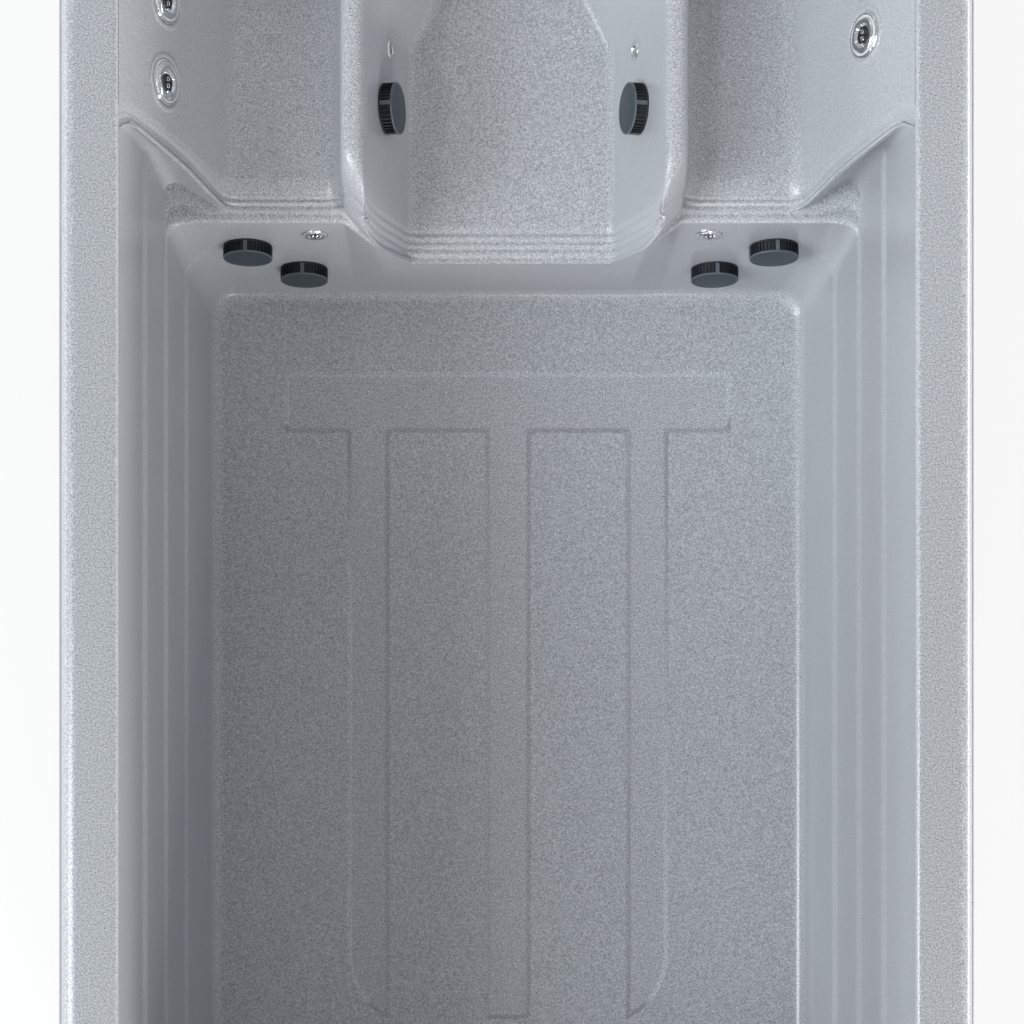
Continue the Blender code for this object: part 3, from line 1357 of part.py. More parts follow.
# Equipment
def make_pump(name, side, materials):
    """Jet pump on its foot: motor, wet end and outlet in one casting, its shaft along X."""
    centre = Vector((side * PUMP_X, PUMP_Y, PAN_TOP_Z + PUMP_AXIS_HEIGHT))
    half = PUMP_MOTOR_LENGTH / 2
    profile = [
        (PUMP_MOTOR_RADIUS * PUMP_NOSE_SHARE, -half - PUMP_END),
        (PUMP_MOTOR_RADIUS, -half),
        (PUMP_MOTOR_RADIUS, half),
        (PUMP_WET_RADIUS, half),
        (PUMP_WET_RADIUS, half + PUMP_WET_LENGTH),
        (PUMP_OUTLET_RADIUS, half + PUMP_WET_LENGTH),
        (PUMP_OUTLET_RADIUS, half + PUMP_WET_LENGTH + PUMP_END),
    ]
    pump = turned(name, profile, materials["motor"], SMALL_SIDES)
    along = Matrix.Rotation(side * math.pi / 2, 4, "Y")
    pump.matrix_world = Matrix.Translation(centre) @ along
    width = PUMP_FOOT / 2
    low = PAN_TOP_Z
    foot = box(
        "foot",
        (centre.x - half * PUMP_FOOT_SHARE, centre.y - width, low),
        (centre.x + half * PUMP_FOOT_SHARE, centre.y + width, centre.z - PUMP_MOTOR_RADIUS * PUMP_FOOT_SHARE),
        None,
    )
    combine(pump, foot, "UNION")
    x = centre.x + side * (half + PUMP_WET_LENGTH / 2)
    profile = [(PUMP_OUTLET_RADIUS, 0.0), (PUMP_OUTLET_RADIUS, PUMP_OUTLET_HEIGHT)]
    outlet = turned("outlet", profile, None, SMALL_SIDES)
    outlet.location = (x, centre.y, centre.z)
    combine(pump, outlet, "UNION")
    return (x, centre.y, centre.z + PUMP_OUTLET_HEIGHT + CLEARANCE)


def make_plumbing(outlets, materials):
    """Glued supply pipes: from each pump along its side to the manifold under the swim jets."""
    manifold_z = RIM_TOP - MANIFOLD_DEPTH
    plumbing = None
    for side, outlet in zip((-1, 1), outlets):
        x = side * PIPE_SIDE_X
        points = [
            outlet,
            (outlet[0], outlet[1], PIPE_HEIGHT),
            (x, outlet[1], PIPE_HEIGHT),
            (x, MANIFOLD_Y, PIPE_HEIGHT),
            (x, MANIFOLD_Y, manifold_z),
            (side * -OVERRUN, MANIFOLD_Y, manifold_z),
        ]
        bend = (PIPE_SIDE_X - abs(outlet[0])) * PIPE_BEND_SHARE
        route = bent_route(points, bend, 2)
        run = tube("supply", route, PIPE_RADIUS, materials["pipe"], PIPE_SIDES)
        plumbing = combine(plumbing, run, "UNION") if plumbing else run
    for number, place in swim_jet_places():
        reach = place @ Vector((0.0, 0.0, RISER_INSET - SWIM_BODY_LENGTH))
        top = reach.z - SWIM_BODY_RADIUS - RISER_GAP
        start = (reach.x, MANIFOLD_Y, manifold_z)
        riser = tube("riser", [start, (reach.x, MANIFOLD_Y, top)], RISER_RADIUS, None, PIPE_SIDES)
        plumbing = combine(plumbing, riser, "UNION")
    plumbing.name = "jet_plumbing"


def make_heater(materials):
    """Flow heater lying along X on two saddles."""
    half = HEATER_LENGTH / 2
    union = half - HEATER_UNION_LENGTH
    profile = [
        (HEATER_UNION_RADIUS, -half),
        (HEATER_UNION_RADIUS, -union),
        (HEATER_RADIUS, -union),
        (HEATER_RADIUS, union),
        (HEATER_UNION_RADIUS, union),
        (HEATER_UNION_RADIUS, half),
    ]
    heater = turned("heater", profile, materials["steel"], SMALL_SIDES)
    centre = Vector((0.0, HEATER_Y, PAN_TOP_Z + HEATER_HEIGHT))
    heater.matrix_world = Matrix.Translation(centre) @ Matrix.Rotation(math.pi / 2, 4, "Y")
    width = HEATER_SADDLE / 2
    for side in (-1, 1):
        x = side * (union - HEATER_SADDLE)
        deep = HEATER_RADIUS * SADDLE_WIDTH_SHARE
        low = (x - width, centre.y - deep, PAN_TOP_Z)
        high = (x + width, centre.y + deep, centre.z)
        combine(heater, box("saddle", low, high, None), "UNION")


def make_control_box(materials):
    half_x = BOX_WIDTH / 2
    corners = box_corners(-half_x, half_x, BOX_Y, BOX_Y + BOX_DEPTH, BOX_EDGE, 2)
    prism("control_box", corners, PAN_TOP_Z, PAN_TOP_Z + BOX_HEIGHT, materials["motor"])


def make_spa():
    clear_scene()
    materials = make_materials()
    finish_shell(make_shell(materials))
    for name, place in cover_places():
        make_cover("suction_cover_" + name, place, materials["dark_plastic"])
    for name, place in seat_jet_places():
        make_jet("seat_jet_" + name, place, SEAT_JET_RADIUS, materials, ROUND_SIDES)
    for name, side in (("left", -1), ("right", 1)):
        make_jet("front_jet_" + name, front_jet_place(side), FRONT_JET_RADIUS, materials, SMALL_SIDES)
        place = footwell_place(side, RETURN_Y, RETURN_DEPTH)
        make_return("footwell_return_" + name, place, materials["chrome"])
    for number, place in swim_jet_places():
        make_swim_jet(number, place, materials)
    make_light(materials)
    make_drain(materials)
    make_skimmer(materials)
    make_controls(materials)
    make_base_pan(materials)
    make_panels(materials)
    make_posts(materials)
    make_trim(materials)
    make_frame(materials)
    outlets = [make_pump("jet_pump_left", -1, materials), make_pump("jet_pump_right", 1, materials)]
    make_plumbing(outlets, materials)
    make_heater(materials)
    make_control_box(materials)


make_spa()
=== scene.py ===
"""Looks of the swim spa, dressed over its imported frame.  Metres, +Z up, +Y towards the seats."""
import math

import bmesh
import bpy
from mathutils import Matrix, Vector


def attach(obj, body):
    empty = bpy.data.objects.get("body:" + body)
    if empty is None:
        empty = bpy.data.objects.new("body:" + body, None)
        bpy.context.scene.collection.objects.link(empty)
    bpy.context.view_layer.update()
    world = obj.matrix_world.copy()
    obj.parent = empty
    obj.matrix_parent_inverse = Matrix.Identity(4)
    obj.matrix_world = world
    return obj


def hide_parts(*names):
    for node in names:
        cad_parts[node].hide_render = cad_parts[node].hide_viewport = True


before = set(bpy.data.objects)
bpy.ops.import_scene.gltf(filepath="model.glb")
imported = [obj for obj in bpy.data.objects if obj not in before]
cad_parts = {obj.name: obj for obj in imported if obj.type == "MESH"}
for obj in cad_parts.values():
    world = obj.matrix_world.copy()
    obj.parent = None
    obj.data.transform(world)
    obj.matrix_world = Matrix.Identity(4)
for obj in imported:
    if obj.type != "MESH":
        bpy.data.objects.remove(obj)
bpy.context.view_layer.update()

# View and studio
# The photograph looks straight down on the spa from about 4.6 m above its rim, a little left of the middle.
# The frame is shifted and not tilted, as in the photograph, so both long sides of the rim stay parallel.
picture = bpy.data.cameras.new("view")
picture.lens = 65.74
picture.sensor_width = 36.0
picture.shift_x = 42.4 / 1024
picture.shift_y = 88 / 1024
picture.clip_end = 60.0
viewer = bpy.data.objects.new("view", picture)
viewer.location = (-0.117, 0.0, 5.9)
bpy.context.scene.collection.objects.link(viewer)
bpy.context.scene.camera = viewer
bpy.context.scene.view_settings.view_transform = "Standard"


def soft_lamp(name, place, target, size, power, colour, spread=180):
    """Rectangular studio lamp that faces its target."""
    lamp = bpy.data.lights.new(name, "AREA")
    lamp.shape = "RECTANGLE"
    lamp.size, lamp.size_y = size
    lamp.energy = power
    lamp.color = colour
    lamp.spread = math.radians(spread)
    holder = bpy.data.objects.new(name, lamp)
    holder.location = place
    away = Vector(place) - Vector(target)
    holder.rotation_euler = away.to_track_quat("Z", "Y").to_euler()
    bpy.context.scene.collection.objects.link(holder)


soft_lamp("key_left", (-20.0, -7.0, 17.5), (0.0, 0.0, 0.8), (11.0, 13.0), 4900, (0.93, 0.975, 1.0))
soft_lamp("fill_front", (4.0, -15.0, 5.6), (0.0, 0.5, 0.6), (8.0, 5.0), 1650, (1.0, 0.985, 0.96))
soft_lamp("low_right", (11.0, 0.0, 1.7), (0.0, 0.0, 1.25), (12.0, 1.6), 1000, (1.0, 0.985, 0.97))
soft_lamp("seat_lamp", (-3.0, 0.4, 8.5), (0.95, 1.8, 0.9), (3.0, 3.0), 4.4, (0.95, 0.98, 1.0), 12)
soft_lamp("low_left", (-11.0, 0.0, 2.4), (0.0, 0.0, 1.2), (12.0, 1.2), 330, (0.95, 0.98, 1.0))


def set_inputs(tree, node, inputs):
    """Gives each named input a plain value, or wires it to another node's output."""
    for socket, value in inputs.items():
        if isinstance(value, bpy.types.NodeSocket):
            tree.links.new(value, node.inputs[socket])
        else:
            node.inputs[socket].default_value = value


def add_node(tree, kind, inputs=None, **settings):
    """New node in a tree, with its settings and its inputs."""
    node = tree.nodes.new(kind)
    for name, value in settings.items():
        setattr(node, name, value)
    set_inputs(tree, node, inputs or {})
    return node


def blank_material(name):
    """New material with its node tree and its shader."""
    material = bpy.data.materials.new(name)
    material.use_nodes = True
    return material, material.node_tree, material.node_tree.nodes["Principled BSDF"]


world = bpy.data.worlds.new("studio")
world.use_nodes = True
bpy.context.scene.world = world
sky = world.node_tree
sky_light = sky.nodes["Background"]
set_inputs(sky, sky_light, {"Strength": 0.495, "Color": (0.95, 0.975, 1.0, 1.0)})
backdrop = add_node(sky, "ShaderNodeBackground", {"Color": (0.95, 0.95, 0.95, 1.0)})
rays = add_node(sky, "ShaderNodeLightPath").outputs
seen = add_node(sky, "ShaderNodeMath", {0: rays["Is Camera Ray"], 1: rays["Is Transmission Ray"]}, operation="MAXIMUM")
pick = add_node(sky, "ShaderNodeMixShader", {0: seen.outputs[0], 1: sky_light.outputs[0], 2: backdrop.outputs[0]})
set_inputs(sky, sky.nodes["World Output"], {"Surface": pick.outputs[0]})


def studio_floor():
    """Pale floor that goes on past every view, and keeps a soft shadow."""
    bm = bmesh.new()
    reach = 40.0
    signs = ((-1, -1), (1, -1), (1, 1), (-1, 1))
    bm.faces.new([bm.verts.new((x * reach, y * reach, -0.0005)) for x, y in signs])
    mesh = bpy.data.meshes.new("studio_floor")
    bm.to_mesh(mesh)
    bm.free()
    ground = bpy.data.objects.new("studio_floor", mesh)
    bpy.context.scene.collection.objects.link(ground)
    paint, tree, shader = blank_material("studio_floor")
    set_inputs(tree, shader, {"Base Color": (0.86, 0.86, 0.86, 1.0), "Roughness": 0.9})
    glow = add_node(tree, "ShaderNodeEmission")
    seen = add_node(tree, "ShaderNodeLightPath").outputs["Is Camera Ray"]
    share = add_node(tree, "ShaderNodeMath", {0: seen, 1: 0.82}, operation="MULTIPLY")
    both = add_node(tree, "ShaderNodeMixShader", {0: share.outputs[0], 1: shader.outputs[0], 2: glow.outputs[0]})
    set_inputs(tree, tree.nodes["Material Output"], {"Surface": both.outputs[0]})
    mesh.materials.append(paint)


studio_floor()

# Shell: basin and seats
# The shell is one sheet of speckled acrylic, vacuum formed over a mould and stiffened behind with laminate.
# An open swim basin with soft ledges in its walls runs into two seats and a lower platform between them, and
# a grooved nosing follows their front. Depths are measured down from the top of the rim.
rim_top = 1.3
sheet_thickness = 0.008
mouth_half = (0.982, 1.857)
mouth_corner = 0.1
basin_depth = 1.12
wall_draft = 0.045
end_draft = 0.048
ledge_depths = (0.28, 0.5, 0.739)
ledge_step = 0.009
floor_fillet = 0.038
basin_corner = 0.11
front_corner = 0.075
wing_tuck = 0.018
corner_cut = 0.05
seat_front_y = 1.062
seat_ledge = 0.031
floor_front_y = 0.944
platform_front_y = 0.96
platform_corner_x = 0.369
seat_corner_x = 0.463
wing_start_x = 0.765
wing_end_y = 1.2
path_corner = 0.04


def between(start, end, share):
    return start + (end - start) * share


def eased(share):
    share = min(max(share, 0.0), 1.0)
    return share * share * (3 - 2 * share)


def moulded_path(corners, closed):
    """Points along straight runs and true arcs; a corner is (x, y, radius, arc steps, steps to the next)."""
    count = len(corners)
    spots = [Vector(corner[:2]) for corner in corners]
    points = []
    ends = []
    for i in range(count):
        radius, arc_steps, run_steps = corners[i][2:]
        first = len(points)
        if closed or 0 < i < count - 1:
            arriving = spots[i] - spots[i - 1]
            leaving = spots[(i + 1) % count] - spots[i]
            half = arriving.angle(leaving) / 2
            reach = min(radius * math.tan(half), 0.48 * min(arriving.length, leaving.length))
            begin = spots[i] - arriving.normalized() * reach
            finish = spots[i] + leaving.normalized() * reach
            for step in range(arc_steps + 1):
                t = step / arc_steps
                a, b, c = (1 - t) ** 2, 2 * t * (1 - t) * math.cos(half), t ** 2
                points.append((begin * a + spots[i] * b + finish * c) / (a + b + c))
        else:
            points.append(spots[i].copy())
        ends.append((points[first], points[-1], run_steps))
        points.append(None)
    path = []
    turn = 0
    for point in points:
        if point is not None:
            path.append(point)
            continue
        start, steps = ends[turn][1], ends[turn][2]
        turn += 1
        if turn == count and not closed:
            break
        stop = ends[turn % count][0]
        path += [start.lerp(stop, step / steps) for step in range(1, steps)]
    return path


def wall_inset(depth):
    """How far the side wall stands in from the mouth at a depth, with its soft ledges."""
    steps = sum(eased((depth - ledge + 0.012) / 0.03) for ledge in ledge_depths)
    return depth * wall_draft + steps * ledge_step


def seat_wall_y(depth):
    share = max(0.0, depth - ledge_depths[1]) / (basin_depth - ledge_depths[1])
    low = between(seat_front_y - seat_ledge, floor_front_y, share)
    return between(seat_front_y, low, eased((depth - ledge_depths[1] + 0.002) / 0.01))


def platform_wall_y(depth):
    share = max(0.0, depth - ledge_depths[1]) / (basin_depth - ledge_depths[1])
    return between(platform_front_y, floor_front_y, share)


def wing_share(depth):
    """1 where the basin's corner follows the diagonal wing, 0 where it is a plain round corner."""
    top, middle, low = ledge_depths
    if depth <= middle - 0.004:
        return between(1.0, 0.8, max(depth - top, 0.0) / (middle - top))
    shelf = eased((depth - middle + 0.004) / 0.01)
    return between(0.8, between(0.2, 0.0, min(max(depth - middle, 0.0) / (low - middle), 1.0)), shelf)


def basin_loop(depth, inset):
    """Plan of the basin at a depth; its first points, front_points of them, run along the seats' front."""
    half = mouth_half[0] - inset
    near = mouth_half[1] - inset - depth * end_draft
    fall = inset - wall_inset(depth)
    front = seat_wall_y(depth) - fall
    platform = platform_wall_y(depth) - fall
    wing = wing_share(depth)
    wing_x = between(half - corner_cut, wing_start_x, wing)
    wing_y = between(front - corner_cut, wing_end_y, wing)
    tuck = between(front_corner, wing_tuck, wing)
    corners = [
        (half, wing_y, tuck, 8, 8),
        (wing_x, front, front_corner, 8, 14),
        (seat_corner_x, front, path_corner, 6, 5),
        (platform_corner_x, platform, path_corner, 6, 18),
        (-platform_corner_x, platform, path_corner, 6, 5),
        (-seat_corner_x, front, path_corner, 6, 14),
        (-wing_x, front, front_corner, 8, 8),
        (-half, wing_y, tuck, 8, 24),
        (-half, -near, basin_corner, 10, 20),
        (half, -near, basin_corner, 10, 24),
    ]
    return moulded_path(corners, True)


seat_depth = 0.475
seat_tilt = 0.04
seat_inner_x = 0.472
seat_outer_x = 0.775
divider_depth = 0.26
divider_drop = 0.15
divider_x = (0.397, 0.452)
platform_depth = 0.68
platform_half = 0.288
platform_back_half = 0.15
seat_run = 0.765
backrest_run = 0.16
platform_end_run = 0.13
narrowing_start = 0.49
front_fade = 0.35
well_edge = 0.981
seat_slope = (well_edge - seat_outer_x) / (seat_depth - 0.008)


def rise_share(run, length):
    t = min(max((run - seat_run + length) / length, 0.0), 1.0)
    return (math.cos(t * math.pi / 2) + 1 - t) / 2


def mouth_half_width(y):
    beyond = max(0.0, y - (mouth_half[1] - mouth_corner))
    return well_edge - mouth_corner + math.sqrt(max(mouth_corner ** 2 - beyond ** 2, 0.0))


def seat_section(run):
    """Section across seats, dividers and platform at a run behind the nosing's edge, as (x, depth) points."""
    back = max(rise_share(run, backrest_run), 0.012 / seat_depth)
    seat = (seat_depth + seat_tilt * min(max(run, 0.0) / (seat_run - backrest_run), 1.0)) * back
    platform = platform_depth * max(rise_share(run, platform_end_run), 0.012 / platform_depth)
    front_rise = min(max((0.136 - run) / 0.136, 0.0), 1.0)
    divider = (divider_depth + divider_drop * front_rise ** 2) * back
    narrowing = min(max((run - narrowing_start) / (seat_run - narrowing_start), 0.0), 1.0)
    floor_half = between(platform_half, platform_back_half, narrowing)
    inner = divider_x[0] - (platform_half - floor_half) * 0.48
    side = mouth_half_width(seat_front_y + run) if run > front_fade else well_edge
    outer = min(well_edge - seat_slope * (seat - 0.008), side - 0.002)
    right = [
        (floor_half, platform, 0.034, 6),
        (inner, divider, 0.026, 6),
        (divider_x[1], divider, 0.026, 6),
        (seat_inner_x, seat, 0.045, 6),
        (outer, seat, 0.06, 8),
        (side, 0.008, 0.0, 1),
    ]
    runs = (12, 8, 5, 2, 8, 12)
    left = [(-x, depth, radius, arc, runs[i]) for i, (x, depth, radius, arc) in enumerate(reversed(right))]
    right = [(x, depth, radius, arc, runs[4 - i]) for i, (x, depth, radius, arc) in enumerate(right)]
    return moulded_path(left[:-1] + [(*left[-1][:4], 12)] + right, False)


nosing_width = 0.085
nosing_fall = 0.019
front_points = 129
front_section = [point for point in seat_section(0.0) if point.x >= 0]


def seat_front_depth(x):
    """Depth of the nosing's lower edge at a place across the spa."""
    reach = abs(x)
    for low, high in zip(front_section, front_section[1:]):
        if min(low.x, high.x) <= reach <= max(low.x, high.x):
            share = (reach - low.x) / (high.x - low.x) if abs(high.x - low.x) > 1e-6 else 0.0
            return between(low.y, high.y, share) + nosing_fall
    return 0.008


def front_edge():
    """Where the seats' nosing meets the basin's wall: a depth and a place for each front point."""
    edges = []
    for i in range(front_points):
        high, deep = 0.004, 0.76
        for step in range(22):
            middle = (high + deep) / 2
            place = basin_loop(middle, wall_inset(middle))[i]
            if middle < seat_front_depth(place.x):
                high = middle
            else:
                deep = middle
        edges.append((high, basin_loop(high, wall_inset(high))[i]))
    return edges


edges = front_edge()


def front_edge_y(x):
    """Y of the nosing's lower edge across the spa."""
    places = [place for depth, place in edges[:front_points // 2 + 1]]
    for outer, inner in zip(places, places[1:]):
        if inner.x <= abs(x) <= outer.x:
            share = (abs(x) - inner.x) / max(outer.x - inner.x, 1e-6)
            return between(inner.y, outer.y, share)
    return places[0].y if abs(x) > places[0].x else places[-1].y


def seat_row(run):
    """One row of the seats' smooth surface in space."""
    fade = min(max(1 - run / front_fade, 0.0), 1.0)
    row = []
    for x, depth in seat_section(max(run, 0.0)):
        y = seat_front_y + run + fade * (front_edge_y(x) - seat_front_y)
        row.append(Vector((x, y, rim_top - depth)))
    return row


nosing_grooves = (0.0103, 0.029)
platform_grooves = (0.0435, 0.0615)
nosing_ends = (0.048, 0.076)
nosing_split = 0.4
wing_spread = 1.65
groove_depth = 0.002
groove_half = 0.0045


def nosing_drop(run, x):
    """How far the nosing lies in from the seat's face: a falling band with soft grooves, more on the platform."""
    if run >= nosing_width:
        return 0.0
    platform = min(max((nosing_split - abs(x)) / 0.05, 0.0), 1.0)
    band = nosing_fall * (1 - max(run, 0.0) / nosing_width) ** 1.4
    wing = min(max((abs(x) - wing_start_x) / 0.06, 0.0), 1.0)
    reach = run / between(1.0, wing_spread, wing)
    band += 0.0012 * eased((between(*nosing_ends, platform) - reach) / 0.008)
    for grooves, share in ((nosing_grooves, 1.0), (platform_grooves, platform)):
        for groove in grooves:
            away = (reach - groove) / groove_half
            band += groove_depth * share * (math.exp(-away * away) - 0.5 * math.exp(-(abs(away) - 1.9) ** 2))
    return band


def row_normals(rows, k):
    """The surface's normals along one row of points."""
    row, last, end = rows[k], len(rows) - 1, len(rows[k]) - 1
    found = []
    for i in range(end + 1):
        along = row[min(i + 1, end)] - row[max(i - 1, 0)]
        back = rows[min(k + 1, last)][i] - rows[max(k - 1, 0)][i]
        found.append(along.cross(back).normalized())
    return found


def pressed(rows, runs):
    """Rows moved in by the nosing's drop: straight down at the edge, then along the surface's own normal."""
    out = []
    for k, row in enumerate(rows):
        lean = min(max((k - 2) / 12, 0.0), 1.0)
        moved = []
        for point, normal in zip(row, row_normals(rows, k)):
            inward = normal * min(1.0, 0.35 + abs(normal.z)) * lean + Vector((0.0, 0.0, 1.0 - lean))
            moved.append(point - inward * nosing_drop(runs[k], point.x))
        out.append(moved)
    return out


def sheet(bm, grid, closed=True, ink=0, flip=False):
    """Faces between each row of vertices and the next; closed joins each row's ends."""
    count = len(grid[0])
    for low, high in zip(grid, grid[1:]):
        for i in range(count if closed else count - 1):
            j = (i + 1) % count
            ring = [low[i], low[j], high[j], high[i]]
            bm.faces.new(ring[:1] + ring[:0:-1] if flip else ring).material_index = ink


def skin(rows, closed, tones=(), toned_points=0):
    """Rows of points joined into a sheet; closed joins each row's ends and fills the last row.

    A row's two tones paint light and shade into the sheet's colour, paler or darker: one for its first points, one for
    the rest."""
    bm = bmesh.new()
    layer = bm.verts.layers.float.new("painted_light_and_shade")
    grid = [[bm.verts.new(point) for point in row] for row in rows]
    for row, (first, rest) in zip(grid, tones):
        for i, vert in enumerate(row):
            vert[layer] = first if i < toned_points else rest
    sheet(bm, grid, closed)
    if closed:
        bm.faces.new(grid[-1])
    bmesh.ops.remove_doubles(bm, verts=bm.verts, dist=0.00002)
    bmesh.ops.dissolve_degenerate(bm, dist=0.00002, edges=bm.edges)
    return bm


def piece_from(name, bm, material=None, soft=None):
    mesh = bpy.data.meshes.new(name)
    bm.to_mesh(mesh)
    bm.free()
    if soft is not None:
        mesh.shade_smooth()
        mesh.set_sharp_from_angle(angle=math.radians(soft))
    piece = bpy.data.objects.new(name, mesh)
    bpy.context.scene.collection.objects.link(piece)
    if material:
        mesh.materials.append(material)
    return piece


def seat_skin():
    """Seats, dividers and platform, from the nosing's rolled edge to the backrests' top."""
    runs = [nosing_width * step / 48 for step in range(49)]
    runs += [0.092, 0.102, 0.115, 0.136, 0.17, 0.21, 0.26, 0.31]
    runs += [0.35, 0.4, 0.45, 0.49, 0.53, 0.57, 0.59]
    runs += [between(seat_run - backrest_run, seat_run, step / 16) for step in range(17)]
    runs += [seat_run + 0.01, seat_run + 0.02, seat_run + 0.0304]
    plain = [seat_row(run) for run in runs]
    rows = pressed(plain, runs)
    normals = row_normals(plain, 0)
    turns_under = ((0.004, 0.03), (0.001, 0.014), (0.0, 0.006), (0.0, 0.003), (0.0004, 0.0012))
    for point, normal in zip(rows[0], normals):
        point.y += 0.001 - 0.003 * normal.z ** 2
    lap = []
    for back, down in turns_under:
        shifts = [Vector((0.0, back, -down * normal.z ** 2)) for normal in normals]
        lap.append([point + shift for point, shift in zip(rows[0], shifts)])
    return piece_from("seat_skin", skin(lap + rows, False))


# Painted light: the lower walls and the floor are made paler, more towards the floor. Painted highlight and painted
# shade lines run along the shelf in the seats' front wall.
floor_painted_light = 0.22
shelf_painted_highlight_and_shade = {-0.0025: -0.45, -0.001: 0.05, 0.001: 0.4, 0.0025: -0.45, 0.004: 0.05, 0.006: 0.5}


def basin_skin():
    """The swim basin from just under the rim's roll to its flat floor."""
    depths = [0.012, 0.03]
    for ledge in ledge_depths:
        start = depths[-1]
        depths += [between(start, ledge - 0.012, step / 4) for step in range(1, 5)]
        shifts = (-0.008, -0.004, -0.0025, -0.001, 0.001, 0.0025, 0.004, 0.006, 0.009, 0.014, 0.019)
        depths += [ledge + shift for shift in shifts]
    start = depths[-1]
    low = basin_depth - floor_fillet
    depths += [between(start, low, step / 5) for step in range(1, 6)]
    levels = [(depth, wall_inset(depth)) for depth in depths]
    for step in range(1, 9):
        angle = math.pi / 2 * step / 8
        levels.append((low + floor_fillet * math.sin(angle), wall_inset(low) + floor_fillet * (1 - math.cos(angle))))
    rows, tones = [], []
    for depth, inset in levels:
        row = []
        # Painted light towards the floor; painted highlight and shade lines at the front shelf.
        low_painted_light = floor_painted_light * eased((depth - ledge_depths[1]) / 0.4)
        tones.append((shelf_painted_highlight_and_shade.get(round(depth - ledge_depths[1], 5), low_painted_light), low_painted_light))
        for i, point in enumerate(basin_loop(depth, inset)):
            if i < front_points and depth < edges[i][0]:
                row.append((edges[i][1].x, edges[i][1].y, rim_top - edges[i][0]))
            else:
                row.append((point.x, point.y, rim_top - depth))
        rows.append(row)
    low_inset = wall_inset(low) + floor_fillet
    for further in (0.004, 0.012):
        tones.append((floor_painted_light, floor_painted_light))
        loop = basin_loop(basin_depth, low_inset + further)
        rows.append([(point.x, point.y, rim_top - basin_depth) for point in loop])
    return piece_from("basin_skin", skin(rows, True, tones, front_points))


# Shell: rim
# The flat rim is rolled down at its outer lip, which rests on the steel frame, and rolled into the basin's mouth.
# It is the part of the sheet that carries the control panel and the air knobs.
mouth_roll = 0.014
lip_half = (1.128, 2.003)
lip_corner = 0.09
lip_roll = (0.046, 0.036)
lip_skirt = 0.02
# Painted shade: the rim's flat top is made a little darker than its rolls.
rim_top_painted_shade = -0.24


def rim_ring():
    """The flat rim, rolled down at its outer lip and into the mouth."""
    mouth = [(0.0008, 0.02)]
    for step in range(7):
        angle = math.pi / 2 * step / 6
        mouth.append((mouth_roll * (1 - math.cos(angle)), mouth_roll * (1 - math.sin(angle))))
    mouth.append((mouth_roll + 0.02, 0.0))
    lip = []
    for step in range(9):
        angle = math.pi / 2 * step / 8
        lip.append((-lip_roll[0] * (1 - math.sin(angle)), lip_roll[1] * (1 - math.cos(angle))))
    lip += [(0.0, lip_roll[1] + lip_skirt), (-sheet_thickness, lip_roll[1] + lip_skirt)]
    for step in reversed(range(5)):
        angle = math.pi / 2 * step / 4
        across = (lip_roll[0] - sheet_thickness) * (1 - math.sin(angle))
        down = (lip_roll[1] - sheet_thickness) * (1 - math.cos(angle))
        lip.append((-sheet_thickness - across, sheet_thickness + down))
    back = [(mouth_roll + 0.012, sheet_thickness), (sheet_thickness, 0.02)]
    rows = []
    outlines = ((mouth, mouth_half, mouth_corner), (lip, lip_half, lip_corner), (back, mouth_half, mouth_corner))
    for outline, half, corner in outlines:
        for grow, depth in outline:
            x, y, radius = half[0] + grow, half[1] + grow, corner + grow
            spots = [(x, -y, radius, 8, 30), (x, y, radius, 8, 16), (-x, y, radius, 8, 30), (-x, -y, radius, 8, 16)]
            rows.append([(point.x, point.y, rim_top - depth) for point in moulded_path(spots, True)])
    rows.append(rows[0])
    bm = bmesh.new()
    sheet(bm, [[bm.verts.new(point) for point in row] for row in rows], flip=True)
    bmesh.ops.remove_doubles(bm, verts=bm.verts, dist=0.00002)
    tone = bm.verts.layers.float.new("painted_light_and_shade")
    # Painted shade on the rim's flat top.
    for vert in bm.verts:
        vert[tone] = rim_top_painted_shade if vert.co.z > rim_top - 0.001 else 0.0
    return piece_from("rim_ring", bm)


# Shell: floor bands
# A cross bar and three bands down the floor, pressed up in the sheet for a firm footing. Their edges are soft,
# with a painted highlight on their outer edges and painted shade on their inner edges and under the bar.
bar_half = 0.678
bar_y = (0.517, 0.692)
band_inner = 0.367
band_outer = 0.485
middle_band_half = 0.0635
band_end_y = -1.275
band_end_radius = 0.22


